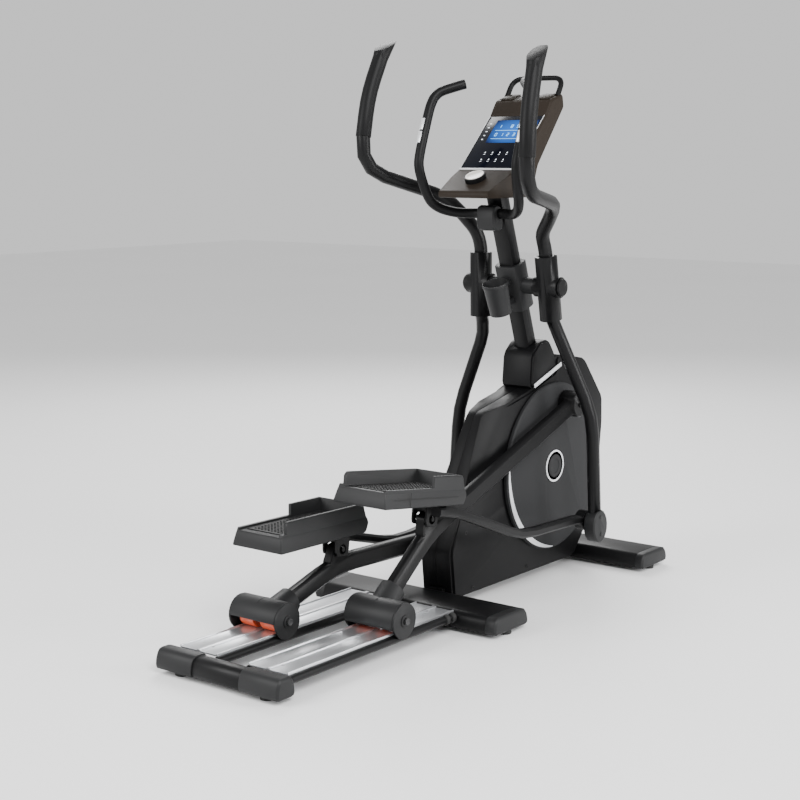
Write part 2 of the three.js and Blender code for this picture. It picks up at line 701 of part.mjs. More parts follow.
/** The belt: a flat loop round the pulley and the flywheel's sheave. */
function driveBelt() {
  const big = { x: CRANK.x, z: CRANK.z, r: PULLEY.radius + GAP };
  const small = { x: FLYWHEEL.x, z: FLYWHEEL.z, r: FLYWHEEL.sheave + GAP };
  const line = Math.atan2(small.z - big.z, small.x - big.x);
  const wrap = Math.acos((big.r - small.r) / Math.hypot(small.x - big.x, small.z - big.z));
  const loop = (grow) => {
    const shape = new THREE.Shape();
    shape.absarc(small.x, small.z, small.r + grow, line - wrap, line + wrap, false);
    shape.absarc(big.x, big.z, big.r + grow, line + wrap, line - wrap + 2 * Math.PI, false);
    return slab(shape, pulleyEnds[0] + 2, pulleyEnds[1] - 2, { curve: 8 });
  };
  return cut(loop(3), loop(0));
}

piece("drive_belt", driveBelt(), RUBBER);

/** A crank disc on one end of the axle, with a recessed hub and the pin that drives the arm. */
function crankDisc(s, pin) {
  const near = DISC.inner;
  const far = near + DISC.thickness;
  const { radius, hub } = DISC;
  const profile = [
    [0, near], [radius, near], [radius, far - 4], [radius - 5, far],
    [hub + 3, far], [hub, far - 5], [0, far - 5],
  ].map(([r, y]) => [r, s * y]);
  const pinEnd = HOUSING.outer - HOUSING.wall - 6;
  return join(
    turned(profile, CRANK.x, CRANK.z, 44),
    crossRod(PIN_RADIUS, s * (far - 6), s * pinEnd, pin.x, pin.z, 14),
  );
}

// ---- One side of the linkage ---------------------------------------------------------------------------

const armSlope = Math.atan2(ARM.rise, ARM.bend);

/** A point on the first leg of the arm's centre line, a distance from the roller axle. */
const onArm = (s, along) => [along * Math.cos(armSlope), s * ARM.plane, along * Math.sin(armSlope)];

/** The bent pedal arm in its own frame: roller axle at the origin, crank pin at its length along X. */
function pedalArm(s) {
  const y = s * ARM.plane;
  const { width, height, wall: sheet } = ARM;
  const run = (from, to) =>
    bent([onArm(s, ARM.socket + from), [ARM.bend, y, ARM.rise], [ARM.length - to, y, 2]], 80, 3);
  const bar = swept(rectangle(width, height, 9), run(0, 20));
  const bore = swept(
    rectangle(width - 2 * sheet, height - 2 * sheet, 7), run(-1, HOUSING.radius + 2 * sheet),
  );
  const { inner, outer, radius, wall, play } = HOUSING;
  const housing = turned(
    [[0, inner], [radius, inner], [radius, outer - 4], [radius - 4, outer], [0, outer]]
      .map(([r, d]) => [r, s * d]),
    ARM.length, 0, 24,
  );
  const screw = crossRod(11, s * (outer - 1), s * (outer + 4), ARM.length, 0, 12);
  const { along, up, pin } = ARM_PIVOT;
  const foot = ARM.rise + ARM.height / 2 - 16;
  const lug = slab(
    rounded([[along - 46, foot], [along + 46, foot], [along + 17, up + 15], [along - 17, up + 15]], 8),
    y - 14,
    y + 14,
  );
  const pivotPin = crossRod(pin, s * inner, s * (outer + 2), along, up, 12);
  const cavity = crossRod(PIN_RADIUS + play, s * (inner - 1), s * (outer - wall), ARM.length, 0, 20);
  return cut(join(cut(bar, bore), housing, screw, lug, pivotPin), cavity);
}

/** The carriage over the rollers: a hood between two round side plates, and the arm's socket. */
function carriageCover(s) {
  const { radius, wall, plate, sleeve, sleeveEnd } = CARRIAGE;
  const [inner, outer] = [RAIL.inner - 1, RAIL.outer + 2];
  const hood = crossRod(radius, s * inner, s * outer, 0, 0, 24);
  const side = (y) => crossRod(radius - 2, s * y, s * (y + plate), 0, 0, 24);
  const socket = swept(circle(sleeve, 16), bent([onArm(s, 30), onArm(s, sleeveEnd)], 1));
  const bosses = [inner - plate - 4, outer + plate - 1].map((y) =>
    crossRod(18, s * y, s * (y + 5), 0, 0, 14));
  const room = (x0, x1, top) => block(x0, x1, s * inner, s * outer, -90, top);
  const passage = swept(
    rectangle(ARM.width + 2 * GAP, ARM.height + 2 * GAP, 9),
    bent([onArm(s, ARM.socket - 2), onArm(s, sleeveEnd + 30)], 1),
  );
  return cut(
    join(hood, side(inner - plate), side(outer), socket, ...bosses),
    crossRod(radius - wall, s * inner, s * outer, 0, 0, 44),
    room(-90, 0.5, 4),
    room(0, 30, -18),
    room(29, 60, -20),
    passage,
    crossRod(ROLLER.axle + RUN, s * (inner - 20), s * (outer + 20), 0, 0, 16),
  );
}

/** The two rollers of one carriage on their common sleeve. */
function rollers(s) {
  const { radius, width, apart, hub, axle } = ROLLER;
  const bore = axle + RUN;
  const near = apart / 2;
  const far = near + width;
  const tyre = (from, to) => [[radius, from], [radius, to]];
  const profile = [
    [bore, -far], ...tyre(-far, -near), [hub, -near], [hub, near], ...tyre(near, far), [bore, far],
    [bore, -far],
  ];
  return turned(profile, 0, 0, 20).translate(0, s * RAIL_MIDDLE, 0);
}

/** Points of one side given with the distance outwards as their y. */
const sided = (s, points) => points.map(([x, y, z]) => [x, s * y, z]);

const sleeveAxis = [[-11, SWING.plane, 98], [11, SWING.plane, -104]];

/** The swing arm in the lever's frame, hung on the swing axle: sleeve, cross boss and lower tube. */
function swingArm(s) {
  const { lead, drop, plane, lower } = LEVER;
  const sleeve = tube(bent(sided(s, sleeveAxis), 1), SWING.sleeve, 18);
  const boss = crossRod(SWING.boss, s * (collarFace + GAP), s * BOSS_END);
  const leg = tube(
    bent(
      sided(s, [
        [9, SWING.plane, -90], [42, SWING.plane + 7, -157], [lead - 3, plane, -414],
        [lead, plane, 20 - drop],
      ]),
      60,
    ),
    lower,
  );
  const eye = crossRod(BEARING.eye, s * (plane - 20), s * (plane + 8), lead, -drop);
  const pin = crossRod(BEARING.pin, s * (LINK.plane - 17), s * plane, lead, -drop, 16);
  const socket = tube(bent(sided(s, [[-13.2, SWING.plane, 118], sleeveTop]), 1), LEVER.tube + 1, 16);
  const bore = crossRod(SWING.axle + RUN, 0, s * 200, 0, 0, 20);
  return cut(join(sleeve, boss, leg, eye, pin), bore, socket);
}

const sleeveTop = [-5.2, SWING.plane, 45];
const leverUpper = [
  [-13.4, SWING.plane, 120], [-38, SWING.plane + 4, 166], [-83, 215, 264], [-405, 321, 330],
  [-382, 322, 551], [-318, 314, 726],
];
const GRIP_START = [-395, 321.4, 426];

/** The upper lever tube, from inside the sleeve to just short of the grip's end, as a solid bar. */
function leverBar(s, radius, past = 0) {
  const start = [sleeveTop[0] - 0.03, sleeveTop[1], sleeveTop[2] + GAP - past];
  const end = [-344, 317.2, 655 + past];
  const run = bent(sided(s, [start, ...leverUpper.slice(0, 5), end]), LEVER.bend, 3);
  return tube(run, radius, 14);
}

/** The upper lever tube itself, open at both ends. */
const handlebar = (s) => cut(leverBar(s, LEVER.tube), leverBar(s, LEVER.tube - LEVER.wall, 1));

/** The grip's end: a cone that widens upwards. */
function gripEnd(s) {
  const [low, top] = sided(s, leverUpper.slice(4)).map((point) => new THREE.Vector3(...point));
  const way = top.clone().sub(low).normalize();
  const upright = new THREE.Vector3(0, 1, 0);
  const radius = LEVER.tube + GRIP.foam;
  return new THREE.CylinderGeometry(LEVER.tube + GRIP.flare, radius - 0.5, GRIP.length, 20)
    .translate(0, GRIP.past - GRIP.length / 2, 0)
    .applyQuaternion(new THREE.Quaternion().setFromUnitVectors(upright, way))
    .translate(...top);
}

/** The grip: a thick foam sleeve on the upper tube, with a flared end cut back at a slant. */
function grip(s) {
  const run = bent(sided(s, [GRIP_START, ...leverUpper.slice(4)]), LEVER.bend, 3);
  const outer = tube(run, LEVER.tube + GRIP.foam, 14);
  const [[topX, topY, topZ]] = sided(s, leverUpper.slice(5));
  const slant = new THREE.BoxGeometry(200, 200, 80)
    .translate(0, 0, 40)
    .rotateY(-GRIP.slant)
    .translate(topX, topY, topZ - GRIP.past);
  return cut(join(outer, gripEnd(s)), slant, leverBar(s, LEVER.tube + 2 * GAP, 4 * GAP));
}

/** The oval cover round the lever's lower bearing, with two screws on its face. */
function bearingCover(s) {
  const { lead, drop, plane, lower } = LEVER;
  const centre = -drop - 12;
  const oval = new THREE.Shape();
  oval.absellipse(lead, centre, BEARING.width / 2, BEARING.height / 2, 0, 2 * Math.PI, false, 0);
  const shell = slab(oval, s * (plane - 18), s * BEARING.outer, { bevel: 4, curve: 10 });
  const screws = [-26, 30].map((dz) =>
    crossRod(7, s * (BEARING.outer - 1), s * (BEARING.outer + 2), lead, centre + dz, 10));
  const run = bent(sided(s, [[lead - 2, plane, -500], [lead, plane, 19 - drop]]), 1);
  return cut(
    join(shell, ...screws),
    crossRod(BEARING.eye + GAP, s * (plane - 40), s * (plane + 8 + GAP), lead, -drop),
    tube(run, lower + GAP + 0.2, 16),
    block(lead - lower - 1, lead + lower + 1, s * (plane - 40), s * plane, -drop, -500),
  );
}

/** The foot link in its own frame: the arm's pivot at the origin, the lever's bearing ahead of it. */
function footLink(s) {
  const { length, plane, width, height } = LINK;
  const y = s * plane;
  const path = bent([[-60, y, 28.5], [30, y, 28.5], [385, y, -45], [700, y, 2], [length, y, 0]], 70);
  const bar = swept(rectangle(width, height, 7), path);
  const eye = crossRod(BEARING.eye, s * (plane - 15), s * (plane + 15), length, 0);
  const inner = ARM.plane - ARM.width / 2;
  const outer = ARM.plane + ARM.width / 2;
  const top = FOOTPLATE.rise - 30 * Math.sin(THREE.MathUtils.degToRad(FOOTPLATE.tilt)) - GAP;
  const tie = block(-30, 30, s * (inner - 9), s * (plane + 10), top - 7, top);
  const cheeks = [inner - 9, outer + 3].map((from) => slab(
    rounded([[-30, top - 2], [30, top - 2], [27, -20], [-27, -20]].reverse(), 14),
    s * from,
    s * (from + 6),
  ));
  const play = ARM_PIVOT.pin + ARM_PIVOT.play;
  return cut(
    join(bar, eye, tie, ...cheeks),
    crossRod(BEARING.pin + RUN, s * (plane - 20), s * (plane + 20), length, 0, 16),
    crossRod(play, s * (inner - 20), s * (outer + 20), 0, 0, 16),
  );
}

/** The footplate: a tray with a full inner wall and toe wall, and a half-length outer wall. */
function footplate(s) {
  const { rear, front, inner, width, tread, wall, flare } = FOOTPLATE;
  const outer = inner + width;
  const side = 10;
  const upper = rounded(
    [
      [rear + 10, tread - 8], [front - 6, tread - 8], [front - 8, tread], [front - 22, wall],
      [rear + 36, wall], [rear + 10, tread],
    ],
    7,
  );
  const lower = rounded(
    [[rear, 0], [front - 18, 0], [front, tread * 0.6], [front - 6, tread], [rear + 10, tread]], 7,
  );
  const skirt = slab(lower, s * inner, s * outer, { bevel: 3 });
  const points = skirt.attributes.position;
  const middle = s * (inner + width / 2);
  for (let i = 0; i < points.count; i++) {
    const spread = 1 + ((2 * flare) / width) * (1 - points.getZ(i) / tread);
    points.setY(i, middle + (points.getY(i) - middle) * spread);
  }
  const shell = join(slab(upper, s * inner, s * outer, { bevel: 3 }), skirt);
  const across = [s * (inner + side), s * (outer - side)];
  const well = block(rear + side, front - 32, ...across, tread, wall + 20);
  const back = block(rear - 10, rear + side + 22, s * (inner - 1), s * (outer + 1), tread + 6, wall + 20);
  const lowSide = block(rear - 10, -100, s * (outer - side - 1), s * (outer + 1), tread + 6, wall + 20);
  const under = block(rear + 14, -66, s * (inner + 6), s * (outer - 6), -10, tread - 6);
  return cut(shell, well, back, lowSide, under);
}

for (const { name, s } of SIDES) {
  const at = linkage(s);
  piece("crank_disc_" + name, crankDisc(s, at.pin), DISC_GREY);

  const arm = pitched(at.rollerX, AXLE_HEIGHT, at.armPitch);
  piece("pedal_arm_" + name, pedalArm(s), BLACK_STEEL, arm);
  piece("carriage_" + name, carriageCover(s), CHARCOAL, arm);

  const axleEnds = [RAIL.inner - 14, RAIL.outer + 15].map((y) => s * y);
  const axle = crossRod(ROLLER.axle, ...axleEnds, at.rollerX, AXLE_HEIGHT);
  piece("roller_axle_" + name, axle, CAST_IRON);
  piece("rollers_" + name, rollers(s).translate(at.rollerX, 0, AXLE_HEIGHT), ORANGE);

  const lever = pitched(SWING.x, SWING.z, -at.leverTurn);
  piece("swing_arm_" + name, swingArm(s), BLACK_STEEL, lever);
  piece("handlebar_" + name, handlebar(s), BLACK_STEEL, lever);
  piece("grip_" + name, grip(s), FOAM, lever);
  piece("bearing_cover_" + name, bearingCover(s), CHARCOAL, lever);

  const link = pitched(at.pivot.x, at.pivot.z, at.linkPitch);
  piece("foot_link_" + name, footLink(s), BLACK_STEEL, link);
  const plate = new THREE.Group();
  plate.position.set(0, 0, FOOTPLATE.rise);
  plate.rotation.y = -THREE.MathUtils.degToRad(FOOTPLATE.tilt);
  link.add(plate);
  piece("footplate_" + name, footplate(s), CHARCOAL, plate);
}

export default model;
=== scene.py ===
"""Front-drive elliptical trainer: finishes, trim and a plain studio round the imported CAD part."""

import json
import logging
import math
from contextlib import contextmanager
from dataclasses import dataclass
from enum import Enum
from typing import Callable, Iterator, Sequence

import bpy
from mathutils import Matrix, Vector


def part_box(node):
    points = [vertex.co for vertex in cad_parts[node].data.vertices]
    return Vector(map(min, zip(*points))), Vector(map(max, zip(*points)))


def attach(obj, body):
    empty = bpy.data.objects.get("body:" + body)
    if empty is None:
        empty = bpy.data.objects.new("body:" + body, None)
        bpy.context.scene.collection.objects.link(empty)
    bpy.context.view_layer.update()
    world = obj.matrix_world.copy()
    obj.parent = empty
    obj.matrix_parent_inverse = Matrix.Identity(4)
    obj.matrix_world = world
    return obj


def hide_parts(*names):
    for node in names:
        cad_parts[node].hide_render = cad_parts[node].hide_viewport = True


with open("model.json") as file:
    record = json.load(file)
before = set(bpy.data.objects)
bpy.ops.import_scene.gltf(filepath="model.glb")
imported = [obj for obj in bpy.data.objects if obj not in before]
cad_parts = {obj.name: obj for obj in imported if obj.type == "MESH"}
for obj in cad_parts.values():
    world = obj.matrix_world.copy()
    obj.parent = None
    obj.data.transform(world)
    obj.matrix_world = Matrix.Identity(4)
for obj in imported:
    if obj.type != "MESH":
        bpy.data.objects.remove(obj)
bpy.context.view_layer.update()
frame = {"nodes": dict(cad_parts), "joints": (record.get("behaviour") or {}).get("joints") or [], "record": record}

LOG = logging.getLogger("trainer")
MM = 0.001
SIDES = {"left": 1, "right": -1}
FORWARD = Vector((1, 0, 0))
LEFT = Vector((0, 1, 0))
UP = Vector((0, 0, 1))
Number = float | int


class Axis(Enum):
    """The machine's axes: X forward, Y to the user's left, Z up."""

    X = "x"
    Y = "y"
    Z = "z"

    def turn(self) -> tuple[float, float, float]:
        """The Euler angles that lay a primitive's own Z axis along this axis."""
        return {
            Axis.X: (0.0, math.pi / 2, 0.0),
            Axis.Y: (-math.pi / 2, 0.0, 0.0),
            Axis.Z: (0.0, 0.0, 0.0),
        }[self]


# ---- Shader building ------------------------------------------------------------------------------


class Wire:
    """A socket with arithmetic: an expression on wires adds the Math nodes that work it out."""

    def __init__(self, shader: "Shader", socket: bpy.types.NodeSocket) -> None:
        """Keeps the socket and the shader it belongs to.

        Args:
            shader: the shader whose tree gets the Math nodes.
            socket: the output socket wrapped.
        """
        self.shader = shader
        self.socket = socket

    def _math(self, operation: str, first: "Wire | Number", second: "Wire | Number") -> "Wire":
        """One Math node on two values.

        Args:
            operation: the node's operation.
            first: its first value.
            second: its second value.

        Returns:
            The node's result.
        """
        return self.shader.node("ShaderNodeMath", {"operation": operation}, {0: first, 1: second})

    def __add__(self, other: "Wire | Number") -> "Wire":
        """Sum."""
        return self._math("ADD", self, other)

    __radd__ = __add__

    def __mul__(self, other: "Wire | Number") -> "Wire":
        """Product."""
        return self._math("MULTIPLY", self, other)

    __rmul__ = __mul__

    def __sub__(self, other: "Wire | Number") -> "Wire":
        """Difference."""
        return self._math("SUBTRACT", self, other)

    def __rsub__(self, other: Number) -> "Wire":
        """Difference from a number."""
        return self._math("SUBTRACT", other, self)

    def __truediv__(self, other: "Wire | Number") -> "Wire":
        """Quotient."""
        return self._math("DIVIDE", self, other)

    def __pow__(self, other: Number) -> "Wire":
        """Power."""
        return self._math("POWER", self, other)

    def within(self, low: Number, high: Number) -> "Wire":
        """The value kept between two limits."""
        return self._math("MINIMUM", self._math("MAXIMUM", self, low), high)


class Shader:
    """One material under construction, round a Principled shader."""

    def __init__(self, name: str) -> None:
        """Starts an empty node tree with its output and Principled shader.

        Args:
            name: the material's name.
        """
        self.material = bpy.data.materials.new(name)
        self.material.use_nodes = True
        self.tree = self.material.node_tree
        self.tree.nodes.clear()
        self.surface = self.tree.nodes.new("ShaderNodeBsdfPrincipled")
        output = self.tree.nodes.new("ShaderNodeOutputMaterial")
        self.tree.links.new(self.surface.outputs[0], output.inputs[0])

    def feed(self, socket: bpy.types.NodeSocket, value: object) -> None:
        """Sets a socket from a wire, a number or a colour.

        Args:
            socket: the input socket.
            value: a Wire to link, or the value to set.
        """
        if isinstance(value, Wire):
            self.tree.links.new(value.socket, socket)
        else:
            socket.default_value = value

    def node(self, kind: str, settings: dict, inputs: dict, output: str | int = 0) -> Wire:
        """Adds any node.

        Args:
            kind: the node's type.
            settings: its properties, set first; "stops" gives a ramp's positions and colours.
            inputs: socket name or number to value or wire.
            output: the output socket wanted.

        Returns:
            That output as a wire.
        """
        made = self.tree.nodes.new(kind)
        for key, value in settings.items():
            if key == "stops":
                self._stops(made.color_ramp, value)
            else:
                setattr(made, key, value)
        for key, value in inputs.items():
            self.feed(made.inputs[key], value)
        return Wire(self, made.outputs[output])

    @staticmethod
    def _stops(ramp: bpy.types.ColorRamp, stops: Sequence[tuple[float, tuple]]) -> None:
        """Lays out a colour ramp.

        Args:
            ramp: the ramp.
            stops: positions with their colours, from low to high.
        """
        for element, (position, colour) in zip(ramp.elements, (stops[0], stops[-1])):
            element.position, element.color = position, colour
        for position, colour in stops[1:-1]:
            ramp.elements.new(position).color = colour

    def place(self, scale: Sequence[float] = (1, 1, 1), centre: Vector | None = None) -> Wire:
        """Object coordinates, moved to a centre and then scaled.

        Args:
            scale: the factor along each axis.
            centre: the point that becomes nought.

        Returns:
            The scaled coordinates.
        """
        raw = self.node("ShaderNodeTexCoord", {}, {}, "Object")
        if centre is not None:
            raw = self.node("ShaderNodeVectorMath", {"operation": "SUBTRACT"}, {0: raw, 1: centre})
        return self.node("ShaderNodeMapping", {}, {"Vector": raw, "Scale": scale})

    def noise(self, where: Wire, scale: float, detail: float = 2.0) -> Wire:
        """Smooth noise between nought and one.

        Args:
            where: the coordinates.
            scale: cells to the metre.
            detail: octaves.

        Returns:
            The noise's value.
        """
        inputs = {"Vector": where, "Scale": scale, "Detail": detail}
        return self.node("ShaderNodeTexNoise", {}, inputs)

    def blend(self, factor: Wire, low: Sequence[float], high: Sequence[float]) -> Wire:
        """A colour between two, by a factor.

        Args:
            factor: nought for the first, one for the second.
            low: the first colour.
            high: the second colour.

        Returns:
            The mixed colour.
        """
        stops = [(0.0, (*low, 1.0)), (1.0, (*high, 1.0))]
        return self.node("ShaderNodeValToRGB", {"stops": stops}, {0: factor})

    def relief(self, height: Wire, depth: float, strength: float = 1.0) -> None:
        """Feeds a bump to the surface.

        Args:
            height: the height between nought and one.
            depth: the height of one, in metres.
            strength: the bump's strength.
        """
        inputs = {"Height": height, "Distance": depth, "Strength": strength}
        self.feed(self.surface.inputs["Normal"], self.node("ShaderNodeBump", {}, inputs))


@dataclass(frozen=True)
class Finish:
    """One moulded, painted or bare surface: its colour, its gloss, its grain and its handling marks."""

    name: str
    colour: tuple[float, float, float]
    roughness: float
    metallic: float = 0.0
    coat: float = 0.0
    grain: float = 900.0
    grain_depth: float = 0.0
    cloud: float = 6.0
    cloud_tint: float = 0.25
    cloud_roughness: float = 0.12
    stretch: tuple[float, float, float] = (1.0, 1.0, 1.0)
    specular: float = 0.5

    def build(self) -> bpy.types.Material:
        """Makes the material.

        Returns:
            The finished material.
        """
        shader = Shader(self.name)
        plain = shader.place()
        grained = shader.place(self.stretch)
        cloud = shader.noise(plain, self.cloud, 4.0)
        grain = shader.noise(grained, self.grain, 3.0)
        darker = [channel * (1 - self.cloud_tint) for channel in self.colour]
        lighter = [min(channel * (1 + self.cloud_tint), 1.0) for channel in self.colour]
        tint = (cloud * 0.65 + grain * 0.35).within(0.0, 1.0)
        shader.feed(shader.surface.inputs["Base Color"], shader.blend(tint, darker, lighter))
        smudge = (cloud - 0.5) * self.cloud_roughness + (grain - 0.5) * (self.cloud_roughness * 0.6)
        shader.feed(shader.surface.inputs["Roughness"], (smudge + self.roughness).within(0.04, 1.0))
        shader.feed(shader.surface.inputs["Metallic"], self.metallic)
        shader.feed(shader.surface.inputs["Coat Weight"], self.coat)
        shader.feed(shader.surface.inputs["Specular IOR Level"], self.specular)
        if self.grain_depth:
            shader.relief(grain, self.grain_depth)
        self.dress(shader)
        return shader.material

    def dress(self, shader: Shader) -> None:
        """Adds what a special finish has on top; a plain one has nothing.

        Args:
            shader: the shader under construction.
        """


@dataclass(frozen=True)
class GlowFinish(Finish):
    """A lit display: brightest at its centre, dimming to its rim."""

    glow: tuple[float, float, float] = (0.1, 0.35, 1.0)
    dim: tuple[float, float, float] = (0.0, 0.01, 0.06)
    power: float = 1.0
    centre: tuple[float, float, float] = (0.0, 0.0, 0.0)
    reach: tuple[float, float, float] = (0.06, 0.06, 0.06)

    def dress(self, shader: Shader) -> None:
        """Adds the light.

        Args:
            shader: the shader under construction.
        """
        scaled = [1 / reach for reach in self.reach]
        where = shader.place(scaled, Vector(self.centre))
        away = shader.node("ShaderNodeVectorMath", {"operation": "LENGTH"}, {0: where}, "Value")
        fade = (1 - away ** 2.0).within(0.0, 1.0)
        light = shader.blend(fade, self.dim, self.glow)
        shader.feed(shader.surface.inputs["Emission Color"], light)
        shader.feed(shader.surface.inputs["Emission Strength"], self.power)


class Finishes:
    """Every finish on the machine, built once and kept by name."""

    def __init__(self, glow_centre: Vector) -> None:
        """Builds the finishes.

        Args:
            glow_centre: the middle of the console's display.
        """
        fine = {"grain": 1400.0, "grain_depth": 0.00006}
        plans = [
            Finish("frame_paint", (0.0035, 0.0035, 0.0038), 0.38, specular=0.17, **fine),
            Finish(
                "charcoal_cover", (0.011, 0.0112, 0.0117), 0.5, grain=1800.0, grain_depth=0.00009,
                specular=0.24,
            ),
            Finish("black_shell", (0.0028, 0.0028, 0.0031), 0.46, specular=0.13, **fine),
            Finish("disc_grey", (0.021, 0.0213, 0.0222), 0.6, cloud=3.0, specular=0.12, **fine),
            Finish(
                "rail_aluminium", (0.66, 0.67, 0.69), 0.3, metallic=0.9, grain=420.0,
                grain_depth=0.00005, stretch=(0.02, 1.0, 1.0), cloud_tint=0.12,
            ),
            Finish("roller_orange", (0.66, 0.075, 0.018), 0.42, cloud_tint=0.12, coat=0.1),
            Finish("roller_hub", (0.02, 0.02, 0.021), 0.5),
            Finish(
                "foam_grip", (0.0035, 0.0035, 0.0038), 0.46, grain=700.0, grain_depth=0.00006,
                specular=0.15,
            ),
            Finish("foot_rubber", (0.006, 0.006, 0.006), 0.75, grain=500.0, grain_depth=0.0002),
            Finish("tread_rubber", (0.006, 0.006, 0.0063), 0.6, specular=0.2, grain_depth=0.0002),
            Finish(
                "console_bronze", (0.018, 0.0132, 0.0095), 0.52, specular=0.12,
                cloud_tint=0.12, **fine,
            ),
            Finish("cap_taupe", (0.026, 0.022, 0.018), 0.55, specular=0.12, cloud_tint=0.1, **fine),
            Finish("screen_glass", (0.002, 0.003, 0.007), 0.14, cloud_roughness=0.03, specular=0.12),
            Finish("knob_cream", (0.6, 0.57, 0.52), 0.3, cloud_tint=0.06, coat=0.3),
            Finish(
                "silver_trim", (0.74, 0.75, 0.77), 0.34, metallic=0.4, cloud_tint=0.05,
                cloud_roughness=0.06,
            ),
            Finish("bare_steel", (0.42, 0.42, 0.43), 0.3, metallic=1.0, grain=600.0, grain_depth=0.00004),
            Finish("flywheel_iron", (0.12, 0.12, 0.125), 0.45, metallic=0.9, **fine),
            Finish("seam_black", (0.003, 0.003, 0.003), 0.8),
            Finish("white_print", (0.75, 0.76, 0.78), 0.45, cloud_tint=0.04),
            GlowFinish(
                "display_glow", (0.003, 0.008, 0.03), 0.16, specular=0.12, power=0.9,
                glow=(0.03, 0.24, 0.95), dim=(0.002, 0.006, 0.05), centre=tuple(glow_centre),
                reach=(0.07, 0.098, 0.07),
            ),
            GlowFinish(
                "display_digits", (0.1, 0.3, 0.6), 0.3, power=1.6, glow=(0.3, 0.68, 1.0),
                dim=(0.2, 0.5, 1.0), centre=tuple(glow_centre), reach=(0.2, 0.2, 0.2),
            ),
            GlowFinish(
                "icon_light", (0.7, 0.75, 0.8), 0.3, power=1.1, glow=(0.9, 0.95, 1.0),
                dim=(0.8, 0.85, 1.0), centre=tuple(glow_centre), reach=(0.4, 0.4, 0.4),
            ),
        ]
        self.made = {plan.name: plan.build() for plan in plans}

    def __getitem__(self, name: str) -> bpy.types.Material:
        """The material of that name."""
        return self.made[name]


# ---- Modelling --------------------------------------------------------------------------------------


